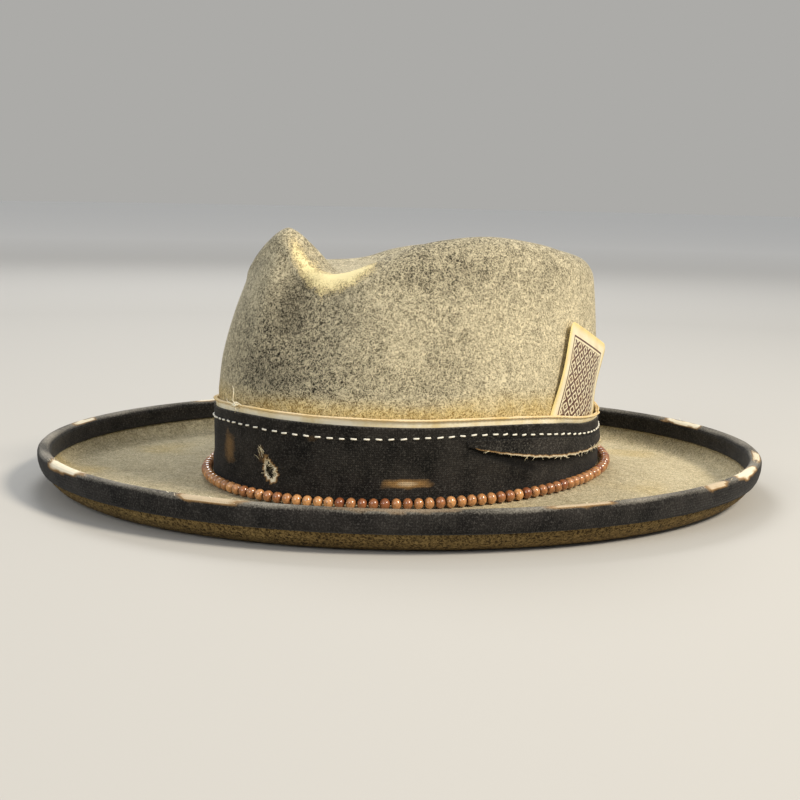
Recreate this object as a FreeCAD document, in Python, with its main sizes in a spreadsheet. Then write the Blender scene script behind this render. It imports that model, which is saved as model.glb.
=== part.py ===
import FreeCAD, Part
import Sketcher
import math
import os

from FreeCAD import Placement, Rotation, Vector

# A wide-brimmed felt fedora, standing on its brim.  Millimetres and degrees.
# Frame: front of the hat -X, wearer's left -Y, up +Z; the origin is on the resting plane, mid-brim.
# Crown pieces are modelled in the crown's own frame, whose base plane is the top of the brim at the crown,
# and are then seated together: the crown sits a little nose-down on its brim.

doc = FreeCAD.newDocument("Fedora")
sheet = doc.addObject("Spreadsheet::Sheet", "sizes")

SIZES = {
    # felt body
    "crown_length": 209.0,        # outside of the crown's oval, front to back
    "crown_width": 174.0,         # outside of the crown's oval, side to side
    "felt_wall": 2.4,
    "crown_height": 128.0,        # top of the front peak
    "straight_height": 46.0,      # the crown rises straight to here, then leans in to the crest
    "break_height": 7.0,          # where the crown wall starts to sweep out into the brim
    "break_reach": 5.5,           # how far that sweep reaches
    "dent_floor": 102.0,          # height of the hollow in the crown's top
    "crown_seat": 6.2,            # brim top at the crown, above the resting plane
    "crown_pitch": 1.89,          # nose-down tilt of the crown
    "crown_roll": 1.37,           # tilt of the crown towards the wearer's left
    "brim_length": 372.0,
    "brim_width": 362.0,
    "crown_back": 5.6,            # how far the crown's oval is set back of the brim's
    "curl_radius": 16.0,          # outside radius of the rolled-up edge
    "curl_sweep": 96.0,           # how far round the edge is rolled
    "rest_width": 16.0,           # flat ring of the brim that the hat stands on
    # cloth round the edge of the brim
    "binding_depth": 10.5,
    "binding_cloth": 0.6,
    "binding_gap": 0.2,
    # band and what is sewn to it
    "card_gap": 0.3,              # crown to card
    "card_stock": 0.35,
    "strip_gap": 0.3,             # card to cream strip
    "strip_cloth": 0.5,
    "strip_show": 3.8,            # cream strip seen above the dark band
    "strip_tuck": 6.0,            # cream strip hidden behind the dark band
    "ply_gap": 0.15,              # between layers of cloth
    "band_cloth": 0.9,
    "band_bottom": 3.4,
    "band_height": 40.4,          # top edge of the dark band at the front
    "hole_width": 4.6,            # the worn-through hole in the band
    "hole_height": 9.5,
    "hole_middle": 15.3,
    "hole_bearing": 11.2,
    "hole_lean": 25.0,
    "tuck_cloth": 0.6,
    "tuck_bottom": 15.4,
    "tuck_below_stitches": 1.6,
    "stitch_drop": 5.3,           # running stitch below the dark band's top edge
    "stitch_pitch": 5.8,
    "stitch_length": 2.6,
    "stitch_width": 0.7,
    "stitch_thick": 0.4,
    "stitch_gap": 0.1,
    "cord_size": 1.3,
    "knot_length": 6.4,
    # string of beads
    "bead_size": 5.8,
    "bead_length": 5.1,
    "bead_pitch": 5.3,
    "bead_gap": 0.3,
    "bead_seat": 0.6,
    "string_size": 1.0,
    "string_knot_size": 4.0,
    # card
    "card_width": 54.0,
    "card_height": 62.0,
    "card_corner": 4.0,
    "card_low": 13.4,
    "card_tilt": 15.0,
    "card_bearing": 121.0,        # round from the front, towards the wearer's left
    # inside of the crown
    "lining_gap": 0.15,
    "lining_cloth": 0.35,
    "lining_low": 36.0,
    "lining_top": 88.0,
    "lining_share": 0.755,
    "piping_size": 1.4,
    "sweat_gap": 0.2,
    "sweat_leather": 1.1,
    "sweat_low": 1.6,
    "sweat_height": 42.0,
    "reed_size": 2.2,
    "reed_gap": 0.2,
    "seam_width": 12.0,
    "seam_cloth": 0.5,
    "bow_width": 24.0,
    "bow_ribbon": 4.0,
    "bow_loop": 5.0,
    "bow_cloth": 0.5,
}
for row, (alias, value) in enumerate(SIZES.items(), start=1):
    sheet.set(f"A{row}", alias)
    sheet.set(f"B{row}", str(value))
    sheet.setAlias(f"B{row}", alias)
doc.recompute()


def size(alias):
    return float(sheet.get(alias))


NODES = []


def finish(obj, label, placement=None):
    """Names a sub-part and seats it."""
    obj.Label = label
    if placement is not None:
        obj.Placement = placement
    NODES.append(obj)
    return obj


def turn(axis, degrees):
    return Rotation(Vector(*axis), degrees)


CROWN = Placement(Vector(size("crown_back"), 0, size("crown_seat")),
                  turn((0, 1, 0), -size("crown_pitch")).multiply(turn((1, 0, 0), size("crown_roll"))))

# ---------------------------------------------------------------------------------------------------------
# Felt body: crown and brim are one piece of felt, blocked and creased by hand.
# The crest is the line round the top of the crown, between the outside wall and the hollow.
# At each bearing from the front, round by the wearer's left: its reach as a share of the crown's base oval
# there; then, as shares of the crown's height, its own height and the radius of the shoulder outside it;
# and last how late the wall leans in.
CREST = [
    # bearing, reach, height, shoulder, lean
    (0, 0.724, 0.998, 0.070, 1.55),
    (7, 0.722, 0.905, 0.066, 1.4),
    (13, 0.715, 0.846, 0.074, 1.25),
    (23, 0.704, 0.846, 0.090, 1.15),
    (36, 0.716, 0.892, 0.110, 1.2),
    (48, 0.712, 0.940, 0.114, 1.25),
    (62, 0.711, 0.969, 0.115, 1.3),
    (85, 0.738, 0.979, 0.117, 1.5),
    (110, 0.782, 0.945, 0.117, 1.6),
    (135, 0.828, 0.887, 0.117, 1.8),
    (158, 0.832, 0.869, 0.113, 1.6),
    (180, 0.850, 0.875, 0.109, 1.5),
    (202, 0.832, 0.869, 0.113, 1.5),
    (222, 0.800, 0.868, 0.117, 1.5),
    (238, 0.765, 0.850, 0.117, 1.45),
    (254, 0.735, 0.818, 0.115, 1.4),
    (275, 0.712, 0.818, 0.113, 1.4),
    (300, 0.705, 0.833, 0.113, 1.4),
    (318, 0.705, 0.862, 0.125, 1.5),
    (335, 0.696, 0.908, 0.125, 1.6),
    (348, 0.702, 0.968, 0.100, 1.6),
]
BEARINGS = 48                          # places round the hat where the felt's profile is drawn
CURL_STEPS = 6                         # bands round the rolled edge
HOLLOW = [(0.58, 0.0), (0.82, 0.62)]   # share of the reach, share of the way up from floor to crest
SHOULDER = (35, 65)                    # degrees round the shoulder
WALL = (1.0, 0.66, 0.33)               # share of the way up the leaning wall


def smooth_round(stations, bearing):
    """Value at a bearing on a smooth closed curve through stations given all the way round."""
    count = len(stations)
    for i in range(count):
        start, end = stations[i], stations[(i + 1) % count]
        span = (end[0] - start[0]) % 360
        ahead = (bearing - start[0]) % 360
        if ahead <= span:
            before, after = stations[i - 1], stations[(i + 2) % count]
            m0 = (end[1] - before[1]) / ((end[0] - before[0]) % 360) * span
            m1 = (after[1] - start[1]) / ((after[0] - start[0]) % 360) * span
            u = ahead / span
            return ((2 * u**3 - 3 * u**2 + 1) * start[1] + (u**3 - 2 * u**2 + u) * m0
                    + (3 * u**2 - 2 * u**3) * end[1] + (u**3 - u**2) * m1)


CREST_REACH, CREST_HEIGHT, CREST_SHOULDER, CREST_LEAN = [
    [(row[0], row[column]) for row in CREST] for column in (1, 2, 3, 4)]


def oval_reach(half_length, half_width, angle):
    return 1 / math.hypot(math.cos(angle) / half_length, math.sin(angle) / half_width)


def brim_edge(angle, inset=0.0):
    """Point on the brim's outline, moved straight in by inset."""
    a, b = size("brim_length") / 2, size("brim_width") / 2
    reach = oval_reach(a, b, angle)
    x, y = reach * math.cos(angle), reach * math.sin(angle)
    out = Vector(x / a**2, y / b**2, 0).normalize()
    return Vector(x, y, 0) - out * inset, out


def felt_profile(bearing):
    """Top side of the felt at one bearing: up the hollow, over the crest, down the wall, then the brim."""
    angle = math.radians(bearing + 180)
    ray = Vector(math.cos(angle), math.sin(angle), 0)
    base = oval_reach(size("crown_length") / 2, size("crown_width") / 2, angle)
    reach = smooth_round(CREST_REACH, bearing) * base
    crest = smooth_round(CREST_HEIGHT, bearing) * size("crown_height")
    shoulder = smooth_round(CREST_SHOULDER, bearing) * size("crown_height")
    lean = smooth_round(CREST_LEAN, bearing)
    floor = size("dent_floor")
    line = [(reach * out, floor + (crest - floor) * up) for out, up in HOLLOW]
    line.append((reach, crest))
    for degrees in SHOULDER:
        a = math.radians(degrees)
        line.append((reach + shoulder * math.sin(a), crest - shoulder * (1 - math.cos(a))))
    top = crest - shoulder
    straight = size("straight_height")
    for share in WALL:
        inward = (base - reach - shoulder) * share**lean
        line.append((base - inward, straight + (top - straight) * share))
    line += [(base, straight), (base, size("break_height"))]
    line.append((base + 0.22 * size("break_reach"), 0.4 * size("break_height")))
    line.append((base + size("break_reach"), 0.5))
    points = [CROWN.multVec(ray * r + Vector(0, 0, z)) for r, z in line]
    # the brim eases down to the flat ring that the hat stands on
    flat, _ = brim_edge(angle, size("curl_radius") + size("rest_width"))
    flat.z = size("felt_wall")
    start = points[-1]
    point = start + (flat - start) * 0.45
    point.z = start.z + (flat.z - start.z) * 0.66
    points.append(point)
    points.append(flat)
    return points


def curl_profile(bearing, radius):
    """The brim's rolled edge at one bearing, from the flat ring round to the cut edge."""
    angle = math.radians(bearing + 180)
    middle, out = brim_edge(angle, size("curl_radius"))
    middle.z = size("curl_radius")
    points = []
    for step in range(CURL_STEPS + 1):
        a = math.radians(size("curl_sweep")) * step / CURL_STEPS
        points.append(middle + out * (radius * math.sin(a)) - Vector(0, 0, radius * math.cos(a)))
    return points


def inside_of(rows, wall):
    """Rows of points moved in by the wall's thickness, square to the surface."""
    moved = []
    for k, row in enumerate(rows):
        inner = rows[max(k - 1, 0)]
        outer = rows[min(k + 1, len(rows) - 1)]
        line = []
        for i, point in enumerate(row):
            along = row[(i + 1) % len(row)] - row[i - 1]
            across = outer[i] - inner[i]
            normal = across.cross(along).normalize()
            line.append(point - normal * wall)
        moved.append(line)
    return moved


def closed_solid(faces):
    skin = Part.Compound(faces)
    skin.sewShape(0.001)
    body = Part.Solid(Part.Shell(skin.Faces))
    body.fix(0.001, 0.001, 0.01)
    return body


def facet(a, b, c, d):
    """Four corners in order as one flat face, or as two where they are out of flat."""
    normal = (b - a).cross(c - a)
    if normal.Length > 1e-6 and abs(normal.normalize().dot(d - a)) < 1e-8:
        return [Part.Face(Part.makePolygon([a, b, c, d, a]))]
    return [Part.Face(Part.makePolygon([*three, three[0]])) for three in ((a, b, c), (a, c, d))]


def bands(rows):
    """Faces from each closed ring of points to the next."""
    faces = []
    for near, far in zip(rows, rows[1:]):
        for i in range(len(near)):
            faces += facet(near[i - 1], near[i], far[i], far[i - 1])
    return faces


def flat_face(*rows):
    """Flat face inside the first ring of points, with any other ring as its hole."""
    return Part.Face([Part.makePolygon([*row, row[0]]) for row in rows])


def make_felt_body():
    wall = size("felt_wall")
    bearings = [360 * i / BEARINGS for i in range(BEARINGS)]
    upper = list(zip(*[felt_profile(b) for b in bearings]))
    lower = inside_of(upper, wall)
    up = CROWN.Rotation.multVec(Vector(0, 0, 1))
    lower[0] = [p - up * wall for p in upper[0]]
    lower[-1] = [Vector(p.x, p.y, 0) for p in upper[-1]]
    curl_upper = list(zip(*[curl_profile(b, size("curl_radius") - wall) for b in bearings]))
    curl_lower = list(zip(*[curl_profile(b, size("curl_radius")) for b in bearings]))
    faces = bands(upper) + bands(lower) + bands(curl_upper) + bands(curl_lower)
    faces += [flat_face(upper[0]), flat_face(lower[0])]
    faces += [flat_face(curl_upper[0], upper[-1]), flat_face(curl_lower[0], lower[-1])]
    faces += bands([curl_upper[-1], curl_lower[-1]])
    return closed_solid(faces)


def add_shape(name, shape, placement=None):
    """A sub-part whose form only code can draw."""
    obj = doc.addObject("Part::Feature", name.title().replace("_", ""))
    obj.Shape = shape
    return finish(obj, name, placement)


add_shape("felt_body", make_felt_body())

# ---------------------------------------------------------------------------------------------------------
# Wrapped pieces: a flat section carried round the hat.


def wrap(section_at, start=0.0, sweep=360.0, steps=BEARINGS):
    """Solid swept round the hat; section_at gives the closed section's points at a bearing."""
    sections = [section_at(start + sweep * i / steps) for i in range(steps + 1)]
    faces = []
    for near, far in zip(sections, sections[1:]):
        for i in range(len(near)):
            faces += facet(near[i - 1], near[i], far[i], far[i - 1])
    if sweep < 360:
        faces += [Part.Face(Part.makePolygon([*end, end[0]])) for end in (sections[0], sections[-1])]
    return closed_solid(faces)


def crown_oval(bearing, offset, height):
    """Point beside the crown's base oval, in the crown's frame."""
    angle = math.radians(bearing + 180)
    reach = oval_reach(size("crown_length") / 2 + offset, size("crown_width") / 2 + offset, angle)
    return Vector(reach * math.cos(angle), reach * math.sin(angle), height)


def hexagon(middle, out, across):
    """Six points of a cord's section, in the upright plane through out."""
    points = []
    for side in range(6):
        a = math.radians(60 * side + 30)
        points.append(middle + out * (across / 2 * math.cos(a)) + Vector(0, 0, across / 2 * math.sin(a)))
    return points


def cord_round(offset, height_at, across):
    """Thin cord laid round the crown."""
    def section(bearing):
        middle = crown_oval(bearing, offset, height_at(bearing))
        return hexagon(middle, Vector(middle.x, middle.y, 0).normalize(), across)
    return wrap(section)


def evenly_round(offset, pitch):
    """Bearings of places one pitch apart along the oval, starting and ending at the back."""
    fine = 3600
    length = [0.0]
    before = crown_oval(180, offset, 0)
    for i in range(1, fine + 1):
        point = crown_oval(180 + 360 * i / fine, offset, 0)
        length.append(length[-1] + before.distanceToPoint(point))
        before = point
    count = int(length[-1] // pitch)
    spots, j = [], 0
    for i in range(count):
        while length[j] < length[-1] * i / count:
            j += 1
        spots.append(180 + 360 * j / fine)
    return spots


def facing_out(bearing, offset):
    """Rotation that turns -Y to face straight out from the oval, keeping Z up."""
    ahead = crown_oval(bearing + 0.5, offset, 0) - crown_oval(bearing - 0.5, offset, 0)
    return Rotation(Vector(1, 0, 0), ahead)


def rectangle(body, name, plane, wide, tall):
    """Sketch of a rectangle centred on the body's origin, its sides bound to wide and tall."""
    sketch = body.newObject("Sketcher::SketchObject", name)
    support = [f for f in body.Origin.OriginFeatures if f.Role == plane][0]
    sketch.AttachmentSupport = [(support, "")]
    sketch.MapMode = "FlatFace"
    corners = [Vector(-1, -1, 0), Vector(1, -1, 0), Vector(1, 1, 0), Vector(-1, 1, 0)]
    for i in range(4):
        sketch.addGeometry(Part.LineSegment(corners[i], corners[(i + 1) % 4]), False)
    for i in range(4):
        sketch.addConstraint(Sketcher.Constraint("Coincident", i, 2, (i + 1) % 4, 1))
    for i, way in enumerate(("Horizontal", "Vertical", "Horizontal", "Vertical")):
        sketch.addConstraint(Sketcher.Constraint(way, i))
    sketch.addConstraint(Sketcher.Constraint("Symmetric", 0, 1, 2, 1, -1, 1))
    width = sketch.addConstraint(Sketcher.Constraint("DistanceX", 0, 1, 0, 2, 2.0))
    height = sketch.addConstraint(Sketcher.Constraint("DistanceY", 1, 1, 1, 2, 2.0))
    sketch.setExpression(f"Constraints[{width}]", wide)
    sketch.setExpression(f"Constraints[{height}]", tall)
    return sketch


# Binding: a bias strip folded over the cut edge of the brim.
def binding_section(bearing):
    angle = math.radians(bearing + 180)
    middle, out = brim_edge(angle, size("curl_radius"))
    middle.z = size("curl_radius")
    top_side = size("curl_radius") - size("felt_wall") - size("binding_gap")
    underside = size("curl_radius") + size("binding_gap")
    end = size("curl_sweep")
    past = math.degrees(size("binding_gap") / size("curl_radius"))
    top_turn = math.degrees(size("binding_depth") / top_side)
    under_turn = math.degrees(size("binding_depth") / underside)
    cloth = size("binding_cloth")
    cloth_turn = math.degrees(cloth / size("curl_radius"))

    def at(radius, degrees):
        a = math.radians(degrees)
        return middle + out * (radius * math.sin(a)) - Vector(0, 0, radius * math.cos(a))

    inside = [(top_side, end - top_turn), (top_side, end - top_turn / 2), (top_side, end + past),
              (underside, end + past), (underside, end - under_turn / 2), (underside, end - under_turn)]
    outside = [(underside + cloth, end - under_turn), (underside + cloth, end - under_turn / 2),
               (underside + cloth, end + past + cloth_turn), (top_side - cloth, end + past + cloth_turn),
               (top_side - cloth, end - top_turn / 2), (top_side - cloth, end - top_turn)]
    return [at(radius, degrees) for radius, degrees in inside + outside]


add_shape("brim_binding", wrap(binding_section))

# ---------------------------------------------------------------------------------------------------------
# Layers round the crown, from the felt outwards: card, cream strip, dark band, torn tuck, beads.
STRIP_IN = size("card_gap") + size("card_stock") + size("strip_gap")
BAND_IN = STRIP_IN + size("strip_cloth") + size("ply_gap")
TUCK_IN = BAND_IN + size("band_cloth") + size("ply_gap")
BEADS_IN = TUCK_IN + size("tuck_cloth") + size("bead_gap")
BAND_EDGE = [
    # bearing, share of the band's height at the front
    (0, 1.0), (18, 1.0), (36, 0.983), (54, 0.958), (72, 0.943), (90, 0.900), (105, 0.837), (123, 0.733),
    (150, 0.675), (180, 0.668), (210, 0.688), (240, 0.728), (270, 0.772), (300, 0.817), (322, 0.861), (340, 0.936),
]


def band_top(bearing):
    """Height of the dark band's top edge: it runs down towards the back."""
    return size("band_height") * smooth_round(BAND_EDGE, bearing)


def layer(inner, cloth, low_at, high_at):
    """Section of a layer of cloth standing round the crown."""
    def section(bearing):
        low, high = low_at(bearing), high_at(bearing)
        return [crown_oval(bearing, inner, low), crown_oval(bearing, inner + cloth, low),
                crown_oval(bearing, inner + cloth, high), crown_oval(bearing, inner, high)]
    return section


add_shape("cream_strip", wrap(layer(STRIP_IN, size("strip_cloth"),
                                    lambda b: band_top(b) - size("strip_tuck"),
                                    lambda b: band_top(b) + size("strip_show"))), CROWN)

# The band has one worn-through hole, left of the front.
band_ring = doc.addObject("Part::Feature", "BandRing")
band_ring.Shape = wrap(layer(BAND_IN, size("band_cloth"), lambda b: size("band_bottom"), band_top))
hole_oval = doc.addObject("Part::Ellipse", "HoleOval")
hole_oval.setExpression("MajorRadius", "sizes.hole_height / 2")
hole_oval.setExpression("MinorRadius", "sizes.hole_width / 2")
hole_punch = doc.addObject("Part::Extrusion", "HolePunch")
hole_punch.Base = hole_oval
hole_punch.DirMode = "Custom"
hole_punch.Dir = Vector(0, 0, 1)
hole_punch.setExpression("LengthFwd", "sizes.band_cloth * 8")
hole_punch.Symmetric = True
hole_punch.Solid = True
hole_middle = crown_oval(size("hole_bearing"), BAND_IN, size("hole_middle"))
hole_punch.Placement = Placement(hole_middle, facing_out(size("hole_bearing"), BAND_IN)
                                 .multiply(turn((1, 0, 0), 90)).multiply(turn((0, 0, 1), 90 + size("hole_lean"))))
band = doc.addObject("Part::Cut", "HatBand")
band.Base = band_ring
band.Tool = hole_punch
doc.recompute()
finish(band, "hat_band", CROWN)

# The end of the wrap is torn and laid over the rest, from the left side round to the back.
TUCK_FROM, TUCK_SWEEP = 67.5, 120.0


def tuck_low(bearing):
    """The torn edge drops in a shallow curve from where it leaves the fold."""
    along = (bearing - TUCK_FROM) / TUCK_SWEEP
    fall = band_top(TUCK_FROM) - size("stitch_drop") - size("tuck_below_stitches") - size("tuck_bottom") - 2.8
    return size("tuck_bottom") + fall * (1 - min(along / 0.5, 1))**2


def tuck_high(bearing):
    return band_top(bearing) - size("stitch_drop") - size("tuck_below_stitches")


add_shape("band_tuck", wrap(layer(TUCK_IN, size("tuck_cloth"), tuck_low, tuck_high),
                            TUCK_FROM, TUCK_SWEEP, steps=16), CROWN)

# Running stitches, one row right round, in line with the band's top edge.
STITCH_IN = BAND_IN + size("band_cloth") + size("stitch_gap")
stitch_blank = doc.addObject("PartDesign::Body", "StitchBlank")
stitch_outline = rectangle(stitch_blank, "StitchOutline", "XZ_Plane",
                           "sizes.stitch_length", "sizes.stitch_width")
stitch_pad = stitch_blank.newObject("PartDesign::Pad", "StitchPad")
stitch_pad.Profile = stitch_outline
stitch_pad.setExpression("Length", "sizes.stitch_thick")
doc.recompute()
stitches = []
for spot in evenly_round(STITCH_IN, size("stitch_pitch")):
    foot = crown_oval(spot, STITCH_IN, band_top(spot) - size("stitch_drop"))
    one = stitch_blank.Shape.copy()
    one.Placement = Placement(foot, facing_out(spot, STITCH_IN))
    stitches.append(one)
add_shape("running_stitches", Part.makeCompound(stitches), CROWN)

CORD_OUT = STRIP_IN + size("strip_cloth") + size("cord_size") / 2 + size("ply_gap")
add_shape("edge_cord", cord_round(CORD_OUT, lambda b: band_top(b) + size("strip_show") - size("cord_size") / 2,
                                  size("cord_size")), CROWN)


def six_sided(name, across, length):
    """Six-sided drum lying along its own Z, centred: a bead, or a tight knot."""
    drum = doc.addObject("Part::Prism", name)
    drum.Polygon = 6
    drum.setExpression("Circumradius", across + " / 2")
    drum.setExpression("Height", length)
    centred = doc.addObject("Part::Compound", name + "Centred")
    centred.Links = [drum]
    drum.setExpression("Placement.Base.z", f"-{length} / 2")
    doc.recompute()
    return centred


def along_oval(bearing, offset, height):
    """Placement with its Z along the oval at a bearing."""
    point = crown_oval(bearing, offset, height)
    ahead = crown_oval(bearing + 0.5, offset, height) - crown_oval(bearing - 0.5, offset, height)
    return Placement(point, Rotation(Vector(0, 0, 1), ahead))


knot = six_sided("CordKnot", "sizes.knot_length * 0.5", "sizes.knot_length")
KNOT_BEARING = 358.0
knot_height = band_top(KNOT_BEARING) + size("strip_show") - size("cord_size") / 2
knot_offset = CORD_OUT + size("cord_size") / 2 + 0.05 + size("knot_length") * 0.25
finish(knot, "cord_knot", CROWN.multiply(along_oval(KNOT_BEARING, knot_offset, knot_height)))

# ---------------------------------------------------------------------------------------------------------
# Loose string of wooden beads, resting on the brim round the foot of the band.
bead = six_sided("Bead", "sizes.bead_size", "sizes.bead_length")
BEAD_OUT = BEADS_IN + size("bead_size") / 2
BEAD_HEIGHT = size("bead_seat") + size("bead_size") / 2
bead_spots = evenly_round(BEAD_OUT, size("bead_pitch"))
beads = []
for spot in bead_spots[1:]:
    one = bead.Shape.copy()
    one.Placement = along_oval(spot, BEAD_OUT, BEAD_HEIGHT)
    beads.append(one)
add_shape("wooden_beads", Part.makeCompound(beads), CROWN)
add_shape("bead_string", cord_round(BEAD_OUT, lambda b: BEAD_HEIGHT, size("string_size")), CROWN)
string_knot = six_sided("StringKnot", "sizes.string_knot_size", "sizes.string_knot_size * 0.9")
finish(string_knot, "string_knot", CROWN.multiply(along_oval(bead_spots[0], BEAD_OUT, BEAD_HEIGHT)))

# ---------------------------------------------------------------------------------------------------------
# Card: cut from a thin curved sheet that hugs the crown, so that it can slide straight up out of the band.


card_sheet = doc.addObject("Part::Feature", "CardSheet")
card_sheet.Shape = wrap(layer(size("card_gap"), size("card_stock"), lambda b: 0,
                              lambda b: size("card_low") + size("card_height") * 1.2), 60, 120, steps=16)
blank = doc.addObject("PartDesign::Body", "CardBlank")
card_outline = rectangle(blank, "CardOutline", "XZ_Plane", "sizes.card_width", "sizes.card_height")
pad = blank.newObject("PartDesign::Pad", "CardPad")
pad.Profile = card_outline
pad.setExpression("Length", "sizes.crown_width / 2")
pad.Midplane = True
doc.recompute()
corners = blank.newObject("PartDesign::Fillet", "CardCorners")
corners.Base = (pad, [f"Edge{i}" for i, edge in enumerate(pad.Shape.Edges, start=1)
                      if abs(edge.tangentAt(0).y) > 0.9])
corners.setExpression("Radius", "sizes.card_corner")
doc.recompute()
card_foot = crown_oval(size("card_bearing"), 0, size("card_low"))
blank.Placement = Placement(card_foot + Vector(0, 0, size("card_height") / 2),
                            facing_out(size("card_bearing"), 0).multiply(turn((0, 1, 0), size("card_tilt"))))
card = doc.addObject("Part::Common", "Card")
card.Base = card_sheet
card.Tool = blank
doc.recompute()
finish(card, "playing_card", CROWN)

# ---------------------------------------------------------------------------------------------------------
# Inside the crown, from the felt inwards: lining, then the leather sweatband with a reed along its foot.
LINING_IN = -size("felt_wall") - size("lining_gap") - size("lining_cloth")
SWEAT_IN = LINING_IN - size("sweat_gap") - size("sweat_leather")
add_shape("sweatband", wrap(layer(SWEAT_IN, size("sweat_leather"), lambda b: size("sweat_low"),
                                  lambda b: size("sweat_low") + size("sweat_height"))), CROWN)
add_shape("sweatband_reed", cord_round(SWEAT_IN + size("sweat_leather") / 2,
                                       lambda b: size("sweat_low") - size("reed_gap") - size("reed_size") / 2,
                                       size("reed_size")), CROWN)


def drawn_in(bearing, offset):
    """Point of the lining's top edge: the oval of its foot drawn in evenly to the tip."""
    share = size("lining_share")
    foot = crown_oval(bearing, offset, 0)
    return Vector(foot.x * share, foot.y * share, size("lining_top"))


def lining_section(bearing):
    out = LINING_IN + size("lining_cloth")
    low, straight = size("lining_low"), size("straight_height")
    return [crown_oval(bearing, LINING_IN, low), crown_oval(bearing, out, low),
            crown_oval(bearing, out, straight), drawn_in(bearing, out),
            drawn_in(bearing, LINING_IN), crown_oval(bearing, LINING_IN, straight)]


add_shape("lining_side", wrap(lining_section), CROWN)

piping = size("piping_size")


def piping_section(bearing):
    edge = drawn_in(bearing, LINING_IN)
    out = Vector(edge.x, edge.y, 0).normalize()
    return hexagon(edge - out * piping * 0.6 + Vector(0, 0, piping * 0.6), out, piping)


add_shape("lining_piping", wrap(piping_section), CROWN)
tip_ring = [drawn_in(360 * i / BEARINGS, LINING_IN - piping * 1.8) for i in range(BEARINGS)]
tip_disc = flat_face(tip_ring).extrude(Vector(0, 0, size("lining_cloth")))
tip_disc.translate(Vector(0, 0, piping / 2))
add_shape("lining_tip", tip_disc, CROWN)

# Back seam of the sweatband, with its tape and small bow.
SEAM_IN = SWEAT_IN - size("ply_gap") * 3 - size("seam_cloth")
SEAM_HALF = math.degrees(size("seam_width") / 2 / (size("crown_length") / 2 + SEAM_IN))


def seam_section(bearing):
    low = size("sweat_low") + size("bow_loop")
    return layer(SEAM_IN, size("seam_cloth"), lambda b: low,
                 lambda b: size("sweat_low") + size("sweat_height") - size("ply_gap"))(bearing)


add_shape("sweatband_seam_tape", wrap(seam_section, 180 - SEAM_HALF, 2 * SEAM_HALF, steps=3), CROWN)


def ribbon_bow():
    """Two flattened loops each side of a tight middle, lying against the sweatband."""
    reach, loop, cloth = size("bow_width") / 2, size("bow_loop"), size("bow_cloth")
    outline = [(0, loop * 0.2), (reach * 0.45, loop * 0.5), (reach, loop * 0.42), (reach, -loop * 0.42),
               (reach * 0.45, -loop * 0.5), (0, -loop * 0.2), (-reach * 0.45, -loop * 0.5),
               (-reach, -loop * 0.42), (-reach, loop * 0.42), (-reach * 0.45, loop * 0.5)]
    points = [Vector(0, y, z) for y, z in outline]
    loops = Part.Face(Part.makePolygon([*points, points[0]])).extrude(Vector(-cloth * 2, 0, 0))
    middle = Part.makeBox(cloth * 4, loop * 0.7, loop * 0.75, Vector(-cloth * 3, -loop * 0.35, -loop * 0.375))
    return loops.fuse(middle)


bow_back = size("crown_length") / 2 + SWEAT_IN - size("ply_gap") * 8
add_shape("sweatband_bow", ribbon_bow(),
          CROWN.multiply(Placement(Vector(bow_back, 0, size("sweat_low") + size("bow_loop") * 0.45), Rotation())))

# ---------------------------------------------------------------------------------------------------------
doc.recompute()
for obj in doc.Objects:
    if {"Invalid", "Error"} & set(obj.State):
        raise RuntimeError(f"{obj.Name} did not compute: {obj.State}")
for node in NODES:
    if node.Shape.isNull() or not node.Shape.isValid():
        raise RuntimeError(f"{node.Label} has no valid shape")
os.makedirs("parts", exist_ok=True)
for node in NODES:
    node.Shape.exportStep(f"parts/{node.Label}.step")
    print(f"{node.Label:22s} solids {len(node.Shape.Solids):4d}  volume {node.Shape.Volume / 1000:8.2f} cm3  "
          f"z {node.Shape.BoundBox.ZMin:6.1f} to {node.Shape.BoundBox.ZMax:6.1f}")
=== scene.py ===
# %% [markdown]
# # Dressing a worn felt fedora
# A plain solid model of a wide-brimmed felt hat is already there, with its band, beads, card and lining.
# This lesson gives each piece the shape and finish of the real one.

import math
import random

import bmesh
import bpy
from mathutils import Matrix, Vector, noise


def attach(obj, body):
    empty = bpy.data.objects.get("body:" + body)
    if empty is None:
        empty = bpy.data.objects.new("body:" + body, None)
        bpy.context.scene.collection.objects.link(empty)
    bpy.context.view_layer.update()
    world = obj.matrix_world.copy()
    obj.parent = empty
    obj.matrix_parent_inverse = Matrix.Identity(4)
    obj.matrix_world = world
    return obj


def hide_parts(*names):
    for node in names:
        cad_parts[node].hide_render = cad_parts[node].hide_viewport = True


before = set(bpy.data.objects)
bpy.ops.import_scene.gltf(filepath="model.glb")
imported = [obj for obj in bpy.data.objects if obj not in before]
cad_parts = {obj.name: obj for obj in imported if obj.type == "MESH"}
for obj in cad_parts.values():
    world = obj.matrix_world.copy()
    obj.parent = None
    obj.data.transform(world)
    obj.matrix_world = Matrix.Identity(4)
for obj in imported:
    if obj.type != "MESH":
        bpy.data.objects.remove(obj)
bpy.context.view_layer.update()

# %% [markdown]
# ## Where the camera stands
# The hat is seen from its left front, with the eye a little above the brim.
# A long lens keeps the brim's ellipse calm. The camera is placed by three directions:
# to its right, up, and ahead.

# %% Camera
RIGHT = Vector((0.77143, -0.63598, 0.02061))
UP = Vector((0.07066, 0.11782, 0.99052))
AHEAD = Vector((0.63237, 0.76266, -0.13583))

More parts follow.
